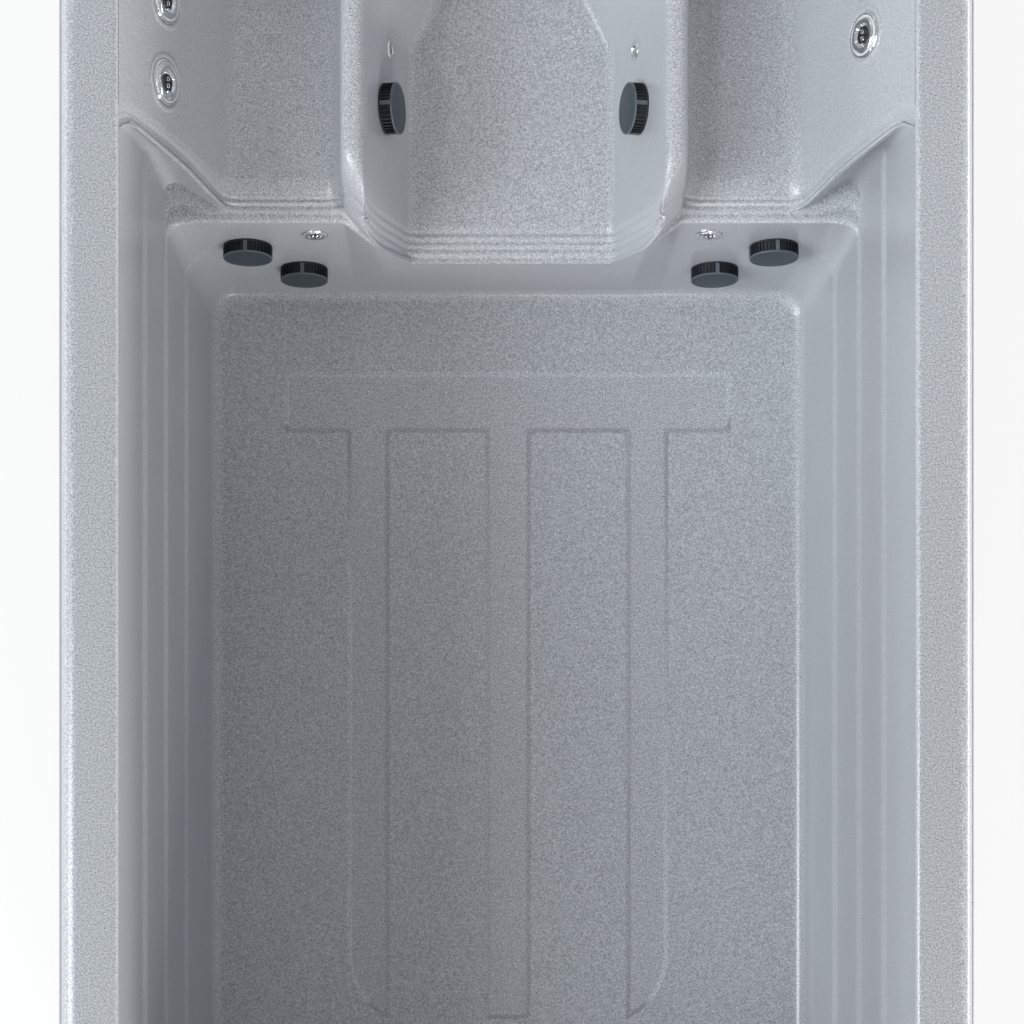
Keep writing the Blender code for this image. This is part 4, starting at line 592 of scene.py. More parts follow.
def floor_bands():
    """Cross bar and three bands down the floor, pressed up with soft edges."""
    arc = []
    turn = math.acos(1 - (band_outer - band_inner) / band_end_radius)
    start = band_end_y + band_end_radius * math.sin(turn)
    for step in range(9):
        angle = turn * step / 8
        x = band_outer - band_end_radius * (1 - math.cos(angle))
        arc.append((x, start - band_end_radius * math.sin(angle), 0.0, 1, 1))
    right = [
        (middle_band_half, band_end_y, 0.012, 4, 12),
        (middle_band_half, bar_y[0], 0.012, 4, 4),
        (band_inner, bar_y[0], 0.012, 4, 12),
        *reversed(arc),
        (band_outer, bar_y[0], 0.012, 4, 3),
        (bar_half, bar_y[0], 0.012, 4, 3),
        (bar_half, bar_y[1], 0.012, 4, 12),
    ]
    left = [(-x, y, radius, arcs, runs) for x, y, radius, arcs, runs in reversed(right)]
    plain = right + left
    rows = []
    for step in range(9):
        share = step / 6
        grown = []
        for i, (x, y, radius, arcs, runs) in enumerate(plain):
            here = Vector((x, y))
            arriving = (here - Vector(plain[i - 1][:2])).normalized()
            leaving = (Vector(plain[(i + 1) % len(plain)][:2]) - here).normalized()
            inward = Vector((-arriving.y, arriving.x)) + Vector((-leaving.y, leaving.x))
            inward = inward.normalized() / max(inward.length / 2, 0.35)
            spot = here + inward * (0.0185 * share - 0.01)
            grown.append((spot.x, spot.y, radius, arcs, runs))
        z = rim_top - basin_depth - 0.0003 + 0.0036 * eased(share)
        rows.append([(point.x, point.y, z) for point in moulded_path(grown, True)])
    bm = bmesh.new()
    tone = bm.verts.layers.float.new("painted_light_and_shade")
    grid = [[bm.verts.new(point) for point in row] for row in rows]
    sheet(bm, grid)
    bm.faces.new(grid[-1])
    bm.normal_update()
    bmesh.ops.triangulate(bm, faces=[face for face in bm.faces if len(face.verts) > 4])
    # Painted highlight on the outer flanks, painted shade on the inner flanks and under the bar, strongest halfway up
    # each flank.
    for step, row in enumerate(grid):
        weight = math.sin(math.pi * min(step / 7, 1.0))
        for vert in row:
            inner = abs(vert.co.x) < (band_inner + band_outer) / 2 and vert.co.y < bar_y[1] - 0.03
            under = abs(vert.co.y - bar_y[0]) < 0.02
            right = vert.co.x > middle_band_half + 0.05
            shade = -1.15 if inner and right else -0.95 if under else -0.6 if inner else 1.2
            vert[tone] = floor_painted_light + shade * weight
    return piece_from("floor_bands", bm)


# Shell: rings for the jets, backing and bores
# Each seat jet sits in a moulded ring. The sheets then get their thickness, and the swim jets' bores and the
# skimmer's throat are cut through the end wall.
seat_jet_radius = 0.059
front_jet_radius = 0.0375
left_seat_wall, right_seat_wall, front_wall = (0.915, 0.0, 0.404), (-0.915, 0.0, 0.404), (0.0, -0.99, 0.139)
jet_places = {
    "seat_jet_left_1": ((-0.8963, 1.328, 1.1), left_seat_wall, seat_jet_radius),
    "seat_jet_left_2": ((-0.8963, 1.539, 1.1), left_seat_wall, seat_jet_radius),
    "seat_jet_right_1": ((0.8963, 1.449, 1.1), right_seat_wall, seat_jet_radius),
    "seat_jet_right_2": ((0.8963, 1.6, 1.1), right_seat_wall, seat_jet_radius),
    "front_jet_left": ((-0.547, 1.017, 0.7), front_wall, front_jet_radius),
    "front_jet_right": ((0.547, 1.017, 0.7), front_wall, front_jet_radius),
}


def on_wall(point, outward):
    """Place of a fitting: its own Z leaves the wall and its own Y points up the wall."""
    out = Vector(outward).normalized()
    across = Vector((0.0, 0.0, 1.0)).cross(out)
    across = across.normalized() if across.length > 0.01 else Vector((1.0, 0.0, 0.0))
    up = out.cross(across)
    return Matrix.Translation(point) @ Matrix((across, up, out)).transposed().to_4x4()


def turned(profile, sides=64, ink=0, lobes=0, lobe_share=0.0):
    """Mesh turned about Z, from its outer foot to its crown; lobes make its rim wavy."""
    bm = bmesh.new()
    rows = []
    for radius, height in profile:
        if radius < 1e-6:
            rows.append([bm.verts.new((0.0, 0.0, height))])
            continue
        row = []
        for i in range(sides):
            angle = math.tau * i / sides
            reach = radius * (1 + lobe_share * (math.cos(lobes * angle) - 1))
            row.append(bm.verts.new((reach * math.cos(angle), reach * math.sin(angle), height)))
        rows.append(row)
    for low, high in zip(rows, rows[1:]):
        for i in range(sides):
            j = (i + 1) % sides
            corners = [low[i % len(low)], low[j % len(low)], high[j % len(high)], high[i % len(high)]]
            ring = list(dict.fromkeys(corners))
            if len(ring) > 2:
                bm.faces.new(ring).material_index = ink
    return bm


def merged(*parts):
    """One bmesh from several; a part that has to be moved is given as (bmesh, place)."""
    whole = bmesh.new()
    for part in parts:
        bm, place = part if isinstance(part, tuple) else (part, None)
        if place is not None:
            bmesh.ops.transform(bm, matrix=place, verts=bm.verts)
        spare = bpy.data.meshes.new("spare")
        bm.to_mesh(spare)
        bm.free()
        whole.from_mesh(spare)
        bpy.data.meshes.remove(spare)
    return whole


def jet_rims():
    """Moulded ring round each seat jet."""
    rims = []
    for point, outward, radius in jet_places.values():
        if radius == seat_jet_radius:
            angles = [math.pi * step / 12 for step in range(13)]
            ring = [(0.068 + 0.008 * math.cos(angle), -0.001 + 0.005 * math.sin(angle)) for angle in angles]
            rims.append((turned(ring, 72), on_wall(point, outward)))
    return piece_from("jet_rims", merged(*rims))


def finished_mesh(piece):
    """The piece's mesh with its modifiers applied."""
    bpy.context.view_layer.update()
    return bpy.data.meshes.new_from_object(piece.evaluated_get(bpy.context.evaluated_depsgraph_get()))


def settle(piece):
    """Applies a piece's modifiers for good."""
    mesh = finished_mesh(piece)
    piece.modifiers.clear()
    piece.data = mesh
    return piece


def drop_piece(piece):
    bpy.data.objects.remove(piece, do_unlink=True)


end_wall = (0.0, 0.996, 0.093)
swim_jet_spots = [(x, -1.8117, 0.91) for x in (-0.42, 0.0, 0.42)]
skimmer_spot = (0.64, -1.8427, 1.15)
skimmer_wall = (0.0, 0.996, 0.09)
shell_parts = [basin_skin(), seat_skin(), rim_ring(), floor_bands(), jet_rims()]
for part in shell_parts[:2]:
    bm = bmesh.new()
    bm.from_mesh(part.data)
    bmesh.ops.recalc_face_normals(bm, faces=bm.faces)
    up = sum(face.normal.z * face.calc_area() for face in bm.faces)
    if up < 0:
        bmesh.ops.reverse_faces(bm, faces=bm.faces)
    bm.to_mesh(part.data)
    bm.free()
    backing = part.modifiers.new("backing", "SOLIDIFY")
    backing.thickness = sheet_thickness
    backing.offset = -1.0
    settle(part)

cutters = []
for spot in swim_jet_spots:
    plug = turned([(0.0, -0.05), (0.0676, -0.05), (0.0676, 0.03), (0.0, 0.03)], 64)
    cutters.append((plug, on_wall(spot, end_wall)))
throat = bmesh.new()
bmesh.ops.create_cube(throat, size=1.0)
bmesh.ops.transform(throat, matrix=Matrix.Diagonal((0.2586, 0.1286, 0.08, 1.0)), verts=throat.verts)
cutters.append((throat, on_wall(skimmer_spot, skimmer_wall)))
cutter = piece_from("bore_cutter", merged(*cutters))
bores = shell_parts[0].modifiers.new("bores", "BOOLEAN")
bores.operation = "DIFFERENCE"
bores.solver = "EXACT"
bores.object = cutter
settle(shell_parts[0])
drop_piece(cutter)

joined = bmesh.new()
# The joined shell keeps the painted light and shade that each part carries on its vertices.
joined.verts.layers.float.new("painted_light_and_shade")
for part in shell_parts:
    joined.from_mesh(part.data)
    drop_piece(part)
shell_look = piece_from("shell_acrylic", joined, soft=42)


def acrylic_material():
    """Grey granite: fine dark and light flecks, which thin out where the sheet was drawn over steep walls."""
    material, tree, shader = blank_material("speckled_acrylic")
    place = add_node(tree, "ShaderNodeTexCoord").outputs["Object"]

    def noise(scale, detail, rough=0.5):
        sizes = {"Scale": scale, "Detail": detail, "Roughness": rough}
        return add_node(tree, "ShaderNodeTexNoise", {"Vector": place, **sizes}).outputs["Fac"]

    def ramp(source, *stops):
        node = add_node(tree, "ShaderNodeValToRGB", {"Fac": source})
        bar = node.color_ramp.elements
        for element, (spot, colour) in ((bar[0], stops[0]), (bar[1], stops[-1])):
            element.position, element.color = spot, (*colour, 1.0)
        for spot, colour in stops[1:-1]:
            bar.new(spot).color = (*colour, 1.0)
        return node.outputs["Color"]

    def mix(kind, share, first, second):
        inputs = {"Factor": share, "A": first, "B": second}
        return add_node(tree, "ShaderNodeMix", inputs, data_type="RGBA", blend_type=kind).outputs["Result"]

    ground = ramp(
        noise(230.0, 3.0, 0.75),
        (0.34, (0.235, 0.245, 0.262)), (0.5, (0.43, 0.445, 0.468)), (0.66, (0.64, 0.655, 0.68)))
    flecks = ramp(
        noise(440.0, 2.0, 0.6),
        (0.32, (0.16, 0.16, 0.17)), (0.43, (0.5, 0.5, 0.5)), (0.6, (0.5, 0.5, 0.5)), (0.7, (0.8, 0.81, 0.83)))
    normal = add_node(tree, "ShaderNodeNewGeometry").outputs["Normal"]
    level = add_node(tree, "ShaderNodeSeparateXYZ", {0: normal}).outputs["Z"]
    limits = {"From Min": 0.25, "From Max": 0.95, "To Min": 0.3, "To Max": 1.0}
    flat = add_node(tree, "ShaderNodeMapRange", {"Value": level, **limits}).outputs[0]
    plain = (0.44, 0.455, 0.48, 1.0)
    colour = mix("MIX", flat, plain, mix("OVERLAY", 0.85, ground, flecks))
    # Painted light and shade: a value on each vertex of the shell makes the acrylic's colour paler or darker.
    edge = add_node(tree, "ShaderNodeAttribute", attribute_name="painted_light_and_shade").outputs["Fac"]
    tone = add_node(tree, "ShaderNodeMapRange", {"Value": edge, "From Min": -1.0, "To Min": 0.7, "To Max": 1.3})
    shade = add_node(tree, "ShaderNodeVectorMath", {0: colour, "Scale": tone.outputs[0]}, operation="SCALE")
    gloss = add_node(tree, "ShaderNodeMapRange", {"Value": noise(9.0, 4.0), "To Min": 0.24, "To Max": 0.38})
    bump = add_node(tree, "ShaderNodeBump", {"Strength": 0.25, "Distance": 0.0006, "Height": noise(210.0, 2.0)})
    set_inputs(tree, shader, {
        "Base Color": shade.outputs[0], "Roughness": gloss.outputs[0], "Normal": bump.outputs["Normal"],
        "Coat Weight": 0.25, "Coat Roughness": 0.12})
    return material


shell_look.data.materials.append(acrylic_material())
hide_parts("shell")
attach(shell_look, "spa")

# Suction covers
# Round covers of dark grey plastic snap over the suction fittings: a foot ring, a band of slots between thin
# ribs, and a domed face with a raised edge.
def surface_grain():
    """Shared node group: fine and coarse noise, and a normal with the fine grain pressed in it."""
    group = bpy.data.node_groups.new("surface_grain", "ShaderNodeTree")
    for label, default in (("Scale", 120.0), ("Depth", 0.1)):
        socket = group.interface.new_socket(label, in_out="INPUT", socket_type="NodeSocketFloat")
        socket.default_value = default
    for label, kind in (("Fine", "Float"), ("Coarse", "Float"), ("Normal", "Vector")):
        group.interface.new_socket(label, in_out="OUTPUT", socket_type="NodeSocket" + kind)
    start = add_node(group, "NodeGroupInput").outputs
    place = add_node(group, "ShaderNodeTexCoord").outputs["Object"]
    fine, coarse = [
        add_node(group, "ShaderNodeTexNoise", {"Vector": place, "Scale": scale, "Detail": detail}).outputs["Fac"]
        for scale, detail in ((start["Scale"], 4.0), (7.0, 5.0))]
    bump = add_node(group, "ShaderNodeBump", {"Strength": start["Depth"], "Distance": 0.0005, "Height": fine})
    add_node(group, "NodeGroupOutput", {"Fine": fine, "Coarse": coarse, "Normal": bump.outputs["Normal"]})
    return group


grain_group = surface_grain()


def finish(name, colour, rough, metal=0.0, scale=120.0, depth=0.1, vary=0.12, coat=0.0):
    """Material with a grained, slightly uneven colour and roughness."""
    material, tree, shader = blank_material(name)
    grain = add_node(tree, "ShaderNodeGroup", {"Scale": scale, "Depth": depth}, node_tree=grain_group).outputs
    half = add_node(tree, "ShaderNodeMath", {0: grain["Coarse"], 1: 0.5}, operation="MULTIPLY").outputs[0]
    blend = add_node(tree, "ShaderNodeMath", {0: grain["Fine"], 1: 0.5, 2: half}, operation="MULTIPLY_ADD")
    tone = add_node(tree, "ShaderNodeValToRGB", {"Fac": blend.outputs[0]})
    for i, spot, share in ((0, 0.3, 1 - vary), (1, 0.7, 1 + vary)):
        tone.color_ramp.elements[i].position = spot
        tone.color_ramp.elements[i].color = (*[min(c * share, 1.0) for c in colour], 1.0)
    limits = {"From Min": 0.3, "From Max": 0.7, "To Min": rough * 0.8, "To Max": min(rough * 1.25, 1.0)}
    gloss = add_node(tree, "ShaderNodeMapRange", {"Value": grain["Coarse"], **limits})
    set_inputs(tree, shader, {
        "Base Color": tone.outputs["Color"], "Roughness": gloss.outputs[0], "Normal": grain["Normal"],
        "Metallic": metal, "Coat Weight": coat})
    return material


def fitting(name, bm, place, materials, body, nodes=(), soft=35):
    """Shown piece at its place, with its materials, its body and the CAD nodes that it stands for."""
    if place is not None:
        bmesh.ops.transform(bm, matrix=place, verts=bm.verts)
    piece = piece_from(name, bm, soft=soft)
    for material in materials:
        piece.data.materials.append(material)
    if nodes:
        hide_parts(*nodes)
    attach(piece, body)
    return piece


def eased_profile(*corners):
    """(radius, height) points from corners given as (radius, height), with an ease where an edge is rounded."""
    corners = [(*corner, 0)[:3] for corner in corners]
    return [tuple(point) for point in moulded_path([(r, h, ease, 3, 1) for r, h, ease in corners], False)]


def lathed(*corners, sides=64, ink=0, across=1.0, lobes=0, lobe_share=0.0):
    """Turned mesh with eased edges; the corners' radii are multiplied by across."""
    return turned(eased_profile(*[(r * across, *rest) for r, *rest in corners]), sides, ink, lobes, lobe_share)


def rib_ring_tree():
    """Geometry nodes: a ring of equal ribs about Z, from named inputs; also the inputs' identifiers."""
    tree = bpy.data.node_groups.new("rib_ring", "GeometryNodeTree")
    sockets = []
    for label in ("Count", "Radius", "Deep", "Wide", "Tall", "Lift", "Material"):
        kind = {"Count": "Int", "Material": "Material"}.get(label, "Float")
        socket = tree.interface.new_socket(label, in_out="INPUT", socket_type="NodeSocket" + kind)
        sockets.append(socket.identifier)
    tree.interface.new_socket("Geometry", in_out="OUTPUT", socket_type="NodeSocketGeometry")
    start = add_node(tree, "NodeGroupInput").outputs
    circle = add_node(tree, "GeometryNodeMeshCircle", {"Vertices": start["Count"], "Radius": start["Radius"]})
    size = add_node(tree, "ShaderNodeCombineXYZ", {"X": start["Deep"], "Y": start["Wide"], "Z": start["Tall"]})
    rib = add_node(tree, "GeometryNodeMeshCube", {"Size": size.outputs[0]}).outputs[0]
    index = add_node(tree, "GeometryNodeInputIndex").outputs[0]
    step = add_node(tree, "ShaderNodeMath", {0: math.tau, 1: start["Count"]}, operation="DIVIDE").outputs[0]
    turn = add_node(tree, "ShaderNodeMath", {0: index, 1: step}, operation="MULTIPLY").outputs[0]
    angle = add_node(tree, "ShaderNodeCombineXYZ", {"Z": turn}).outputs[0]
    inputs = {"Points": circle.outputs[0], "Instance": rib, "Rotation": angle}
    ring = add_node(tree, "GeometryNodeInstanceOnPoints", inputs)
    lift = add_node(tree, "ShaderNodeCombineXYZ", {"Z": start["Lift"]}).outputs[0]
    moved = add_node(tree, "GeometryNodeTransform", {"Geometry": ring.outputs[0], "Translation": lift}).outputs[0]
    real = add_node(tree, "GeometryNodeRealizeInstances", {0: moved}).outputs[0]
    paint = add_node(tree, "GeometryNodeSetMaterial", {"Geometry": real, "Material": start["Material"]})
    add_node(tree, "NodeGroupOutput", {0: paint.outputs[0]})
    return tree, sockets


rib_tree, rib_sockets = rib_ring_tree()


def rib_ring(count, radius, size, lift, material, ink=0):
    """Ring of ribs as a plain mesh; a rib's size is how deep, wide and tall it is."""
    holder = bpy.data.objects.new("ribs", bpy.data.meshes.new("ribs"))
    bpy.context.scene.collection.objects.link(holder)
    maker = holder.modifiers.new("ribs", "NODES")
    maker.node_group = rib_tree
    for identifier, value in zip(rib_sockets, (count, radius, *size, lift, material)):
        maker[identifier] = value
    mesh = finished_mesh(holder)
    drop_piece(holder)
    bm = bmesh.new()
    bm.from_mesh(mesh)
    for face in bm.faces:
        face.material_index = ink
    return bm


# The covers are one dark grey plastic. Their foot ring, slot band and thin ribs are painted darker as painted shade,
# and the raised edge and the four wide ribs paler as a painted highlight.
cover_plastic = finish("cover_plastic", (0.036, 0.05, 0.06), 0.42, scale=420.0, depth=0.25)
cover_side_painted_shade = finish("cover_side_painted_shade", (0.012, 0.016, 0.021), 0.55, scale=420.0, depth=0.2)
cover_edge_painted_highlight = finish("cover_edge_painted_highlight", (0.105, 0.125, 0.14), 0.38, scale=420.0, depth=0.1)
cover_places = {
    "front_left_outer": ((-0.745, 1.0029, 0.6), front_wall),
    "front_left_inner": ((-0.603, 0.9749, 0.4), front_wall),
    "front_right_inner": ((0.603, 0.9749, 0.4), front_wall),
    "front_right_outer": ((0.745, 1.0029, 0.6), front_wall),
    "footwell_left": ((-0.3451, 1.328, 0.84), (0.968, 0.0, 0.251)),
    "footwell_right": ((0.3451, 1.328, 0.84), (-0.968, 0.0, 0.251)),
}
for cover_name, (point, outward) in cover_places.items():
    cover = merged(
        lathed((0.03, -0.045), (0.03, 0.0), (0.0685, 0.0004), (0.0695, 0.005, 0.0015), (0.064, 0.0058),
               (0.0632, 0.033), (0.069, 0.0336, 0.0008), sides=96, ink=1),
        lathed((0.069, 0.0336), (0.0698, 0.0372, 0.0012), (0.0672, 0.0384, 0.001), (0.0652, 0.0366), sides=96, ink=2),
        lathed((0.0652, 0.0366), (0.06, 0.0368), (0.03, 0.039), (0.0, 0.0394), sides=96),
        rib_ring(40, 0.0658, (0.0052, 0.002, 0.029), 0.0195, cover_plastic, 1),
        rib_ring(4, 0.0662, (0.0066, 0.011, 0.029), 0.0195, cover_plastic, 2))
    looks = [cover_plastic, cover_side_painted_shade, cover_edge_painted_highlight]
    node_names = ["suction_cover_" + cover_name]
    fitting("cover_" + cover_name, cover, on_wall(point, outward), looks, "spa", node_names)

# Jets in the seats and in the front wall
# White plastic bodies stand behind the wall. A chromed bezel clamps each of them to the acrylic, and the chromed
# face inside the bezel turns by hand; it has a row of four ports.
bright_chrome = finish("bright_chrome", (0.8, 0.81, 0.82), 0.07, metal=1.0, scale=60.0, depth=0.02, vary=0.03)
# Near-black plastic: the air knobs' pointer marks are really dark; everywhere else it is painted shade in grooves,
# ports, bores, mouths and slots.
dark_plastic_and_painted_shade = finish("dark_plastic_and_painted_shade", (0.01, 0.011, 0.013), 0.35, scale=300.0)
chromed = [bright_chrome, dark_plastic_and_painted_shade]
white_plastic = finish("white_plastic", (0.7, 0.71, 0.72), 0.35, scale=260.0, depth=0.06, vary=0.04)


def at(x, y, z):
    return Matrix.Translation((x, y, z))


def dress(node_name, material, ease, segments=2, angle=30):
    """A CAD node with its finish and softened edges."""
    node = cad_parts[node_name]
    node.data.materials.clear()
    node.data.materials.append(material)
    if ease:
        soft = node.modifiers.new("eased_edges", "BEVEL")
        soft.width = ease
        soft.segments = segments
        soft.limit_method = "ANGLE"
        soft.angle_limit = math.radians(angle)
        soft.harden_normals = True


for jet_name, (point, outward, size) in jet_places.items():
    place = on_wall(point, outward)
    bezel = lathed(
        (1.0, 0.0004), (1.0, 0.0026, 0.0012), (0.92, 0.0058, 0.002), (0.86, 0.005, 0.0008), (0.835, 0.0012),
        sides=72, across=size)
    # The dark ring between bezel and face is painted shade in the gap.
    groove = lathed((0.84, 0.0012), (0.5, 0.0008), sides=72, ink=1, across=size)
    fitting(jet_name + "_bezel", merged(bezel, groove), place, chromed, "spa")
    grip = lathed(
        (0.775, 0.002), (0.785, 0.0066, 0.0012), (0.7, 0.0086, 0.0016), (0.56, 0.0082, 0.001), (0.4, 0.004),
        sides=90, across=size, lobes=5, lobe_share=0.025)
    # The face's dark centre and its ports' holes are painted shade.
    parts = [grip, lathed((0.41, 0.0044), (0.2, 0.0026), (0.0, 0.0024), sides=60, ink=1, across=size)]
    for port in range(4):
        ring = lathed(
            (0.115, 0.003), (0.11, 0.0078, 0.0006), (0.075, 0.0078, 0.0006), (0.065, 0.003), sides=24, across=size)
        hole = turned([(size * 0.068, 0.0046), (0.0, 0.004)], 24, 1)
        shift = at((port - 1.5) * size * 0.3, 0, 0)
        parts += [(ring, shift), (hole, shift)]
    face_body = jet_name.replace("_jet_", "_jet_face_")
    fitting(jet_name + "_rotor", merged(*parts), place, chromed, face_body, [jet_name + "_face"])
    dress(jet_name + "_body", white_plastic, 0)

# Returns in the footwell
# Small chromed eyeballs in the footwell's walls bring heated water back. Each is pushed into its bore and sealed
# under its flange.
for side, side_name in ((-1, "left"), (1, "right")):
    place = on_wall((side * 0.3347, 1.5, 0.8), (-side * 0.968, 0.0, 0.251))
    body = lathed(
        (0.0212, -0.037), (0.0212, 0.0), (0.028, 0.0004), (0.028, 0.002, 0.0008), (0.0236, 0.0056, 0.0012),
        (0.015, 0.006, 0.0008), (0.012, 0.002), sides=56)
    # The dark bore is painted shade.
    hole = turned([(0.0125, 0.0022), (0.0095, -0.004), (0.0, -0.0056)], 40, 1)
    node_names = ["footwell_return_" + side_name]
    fitting("return_" + side_name, merged(body, hole), place, chromed, "spa", node_names)

# Swim jets
# Three big jets in the swim end wall: a moulded flange with its socket, and a chromed ball with a wide mouth
# that tilts in it.
ball_centre = -0.016


def ball_arc(radius, angles):
    """(radius, height) points round a ball at the origin, for angles in degrees."""
    return [(radius * math.cos(math.radians(angle)), radius * math.sin(math.radians(angle))) for angle in angles]


for number, spot in enumerate(swim_jet_spots, 1):
    place = on_wall(spot, end_wall)
    flange = eased_profile(
        (0.068, -0.08), (0.068, -0.021), (0.082, -0.0205, 0.001), (0.082, -0.009, 0.001), (0.068, -0.0085),
        (0.068, 0.0), (0.0895, 0.0004), (0.09, 0.003, 0.001), (0.085, 0.0095, 0.003), (0.06, 0.0098, 0.003),
        (0.0492, 0.0086))
    cup = [(r, ball_centre + h) for r, h in ball_arc(0.0552, (27, 15, 0, -15, -30, -45, -60, -75))]
    socket = turned(flange + cup + [(0.0, ball_centre - 0.0556)], 96)
    studs = rib_ring(6, 0.074, (0.007, 0.0022, 0.0014), 0.0095, cover_plastic)
    node_names = ["swim_jet_socket_%d" % number]
    fitting("swim_socket_%d" % number, merged(socket, studs), place, [cover_plastic], "spa", node_names)
    mouth = eased_profile(
        (0.0366, 0.04), (0.035, 0.0411, 0.0008), (0.03, 0.0395, 0.001), (0.0222, 0.031, 0.001),
        (0.022, -0.015), (0.0, -0.016))
    ball = turned([(0.0, -0.0508)] + ball_arc(0.054, range(-70, 48, 6)) + mouth[:-1], 72)
    vanes = rib_ring(3, 0.0125, (0.018, 0.002, 0.03), 0.005, bright_chrome)
    # The dark floor of the mouth is painted shade.
    nozzle = merged(ball, turned(mouth[-2:], 72, 1), vanes)
    node_names = ["swim_jet_nozzle_%d" % number]
    fitting("swim_nozzle_ball_%d" % number, nozzle, place @ at(0, 0, ball_centre), chromed,
            "swim_nozzle_%d" % number, node_names)

# Underwater light and floor drain
# The light has a clear ribbed lens in a plain white bezel and is clamped through the end wall. The drain is a low
# white dome with slots round it, set in the lowest part of the floor.
lens_clear = finish("light_lens", (0.62, 0.7, 0.76), 0.09, scale=40.0, depth=0.02, vary=0.05, coat=0.6)
bezel = lathed(
    (0.045, -0.05), (0.045, 0.0), (0.0615, 0.0004), (0.062, 0.003, 0.001), (0.058, 0.0062, 0.002),
    (0.05, 0.0062, 0.001), (0.049, 0.005), sides=80, ink=1)
ripple = []
for step in range(28):
    radius = 0.049 * (1 - step / 28)
    ripple.append((radius, 0.0112 - 0.0058 * (radius / 0.049) ** 2 + (0.0006 if step % 2 else 0.0)))
lens = turned(ripple + [(0.0, 0.0114)], 80)
place = on_wall((0.0, -1.7813, 0.68), end_wall)
fitting("light", merged(bezel, lens), place, [lens_clear, white_plastic], "spa", ["underwater_light"])
# The dark ring under the white ribs stands for the slots, as painted shade.
drain = merged(
    lathed((0.028, -0.04), (0.028, 0.0), (0.0545, 0.0004), (0.055, 0.003, 0.001), (0.05, 0.0046, 0.001),
           (0.043, 0.0048), sides=80),
    turned([(0.044, 0.004), (0.03, 0.0044)], 80, 1),
    lathed((0.03, 0.004), (0.03, 0.009, 0.0015), (0.015, 0.0098), (0.0, 0.01), sides=80),
    rib_ring(24, 0.0365, (0.015, 0.0022, 0.004), 0.0058, white_plastic))
fitting("drain", drain, at(0.0, -1.48, 0.18), [white_plastic, dark_plastic_and_painted_shade], "spa", ["floor_drain"])

# Skimmer
# The skimmer's moulded white frame is screwed over its throat in the end wall; the dark weir flap floats inside
# it on two pins.
skimmer_place = on_wall(skimmer_spot, skimmer_wall)


def rounded_rows(bm, half_x, half_y, levels, arc_steps):
    """Rows of vertices round a rectangle; a level is (grow, height, corner radius)."""
    rows = []
    for grow, height, radius in levels:
        x, y = half_x + grow, half_y + grow
        spots = [(a, b, radius, arc_steps, 2) for a, b in ((x, -y), (x, y), (-x, y), (-x, -y))]
        rows.append([bm.verts.new((point.x, point.y, height)) for point in moulded_path(spots, True)])
    return rows


def block(low, high, ease=0.0, ink=0):
    """Box from corner to corner, its edges eased."""
    bm = bmesh.new()
    bmesh.ops.create_cube(bm, size=1.0)
    size = Vector(high) - Vector(low)
    middle = (Vector(high) + Vector(low)) / 2
    bmesh.ops.transform(bm, matrix=Matrix.Translation(middle) @ Matrix.Diagonal((*size, 1.0)), verts=bm.verts)
    if ease:
        bmesh.ops.bevel(bm, geom=bm.edges[:], offset=ease, segments=3, profile=0.5, affect="EDGES")
    for face in bm.faces:
        face.material_index = ink
    return bm


skimmer = bmesh.new()
frame_levels = [
    (-0.0005, -0.062, 0.004), (-0.0005, 0.0, 0.004), (0.0195, 0.0004, 0.014), (0.02, 0.002, 0.014),
    (0.0186, 0.0052, 0.013), (0.0165, 0.006, 0.012), (-0.002, 0.006, 0.006), (-0.0046, 0.0048, 0.005),
    (-0.005, 0.003, 0.005), (-0.005, -0.056, 0.004)]
frame_rows = rounded_rows(skimmer, 0.13, 0.065, frame_levels, 6)
sheet(skimmer, frame_rows)
skimmer.faces.new(frame_rows[-1])
screws = []
for x in (-0.134, 0.0, 0.134):
    for y in (-0.075, 0.075):
        head = lathed((0.0042, 0.0058), (0.004, 0.0064, 0.0004), (0.0, 0.0068), sides=20, ink=1)
        screws.append((head, at(x, y, 0.0)))
looks = [white_plastic, bright_chrome]
fitting("skimmer_frame", merged(skimmer, *screws), skimmer_place, looks, "spa", ["skimmer_housing"])

dark_weir = finish("weir_plastic", (0.055, 0.065, 0.08), 0.45, scale=380.0, depth=0.2)
weir_parts = [
    block((-0.122, -0.0028, -0.0028), (0.122, 0.079, 0.0022), 0.0018),
    block((-0.115, 0.064, -0.0029), (0.115, 0.0785, 0.0029), 0.002)]
for side in (-1, 1):
    pin = turned([(0.0, 0.0), (0.0024, 0.0), (0.0024, 0.004), (0.0, 0.004)], 20)
    weir_parts.append((pin, at(side * 0.1208, 0.0, 0.0) @ Matrix.Rotation(side * math.pi / 2, 4, "Y")))
for rib in range(7):
    x = (rib - 3) * 0.034
    weir_parts.append(block((x - 0.0012, 0.004, -0.0029), (x + 0.0012, 0.062, 0.0028), 0.0006))
weir_place = on_wall((0.64, -1.8458, 1.0955), skimmer_wall)
fitting("weir_flap", merged(*weir_parts), weir_place, [dark_weir], "weir", ["skimmer_weir"])

# Controls on the rim
# A black panel with a glossy display and three soft buttons sits on the seat end of the rim, between two
# chromed air knobs.
black_trim = finish("black_trim", (0.02, 0.022, 0.026), 0.5, scale=520.0, depth=0.35)
display_glass = finish("display_glass", (0.012, 0.016, 0.022), 0.06, scale=30.0, depth=0.01, coat=0.8)
soft_button = finish("soft_button", (0.16, 0.17, 0.19), 0.55, scale=600.0, depth=0.3)
panel_y = 1.914
button_xs = [0.01 + 0.03 * number for number in range(3)]


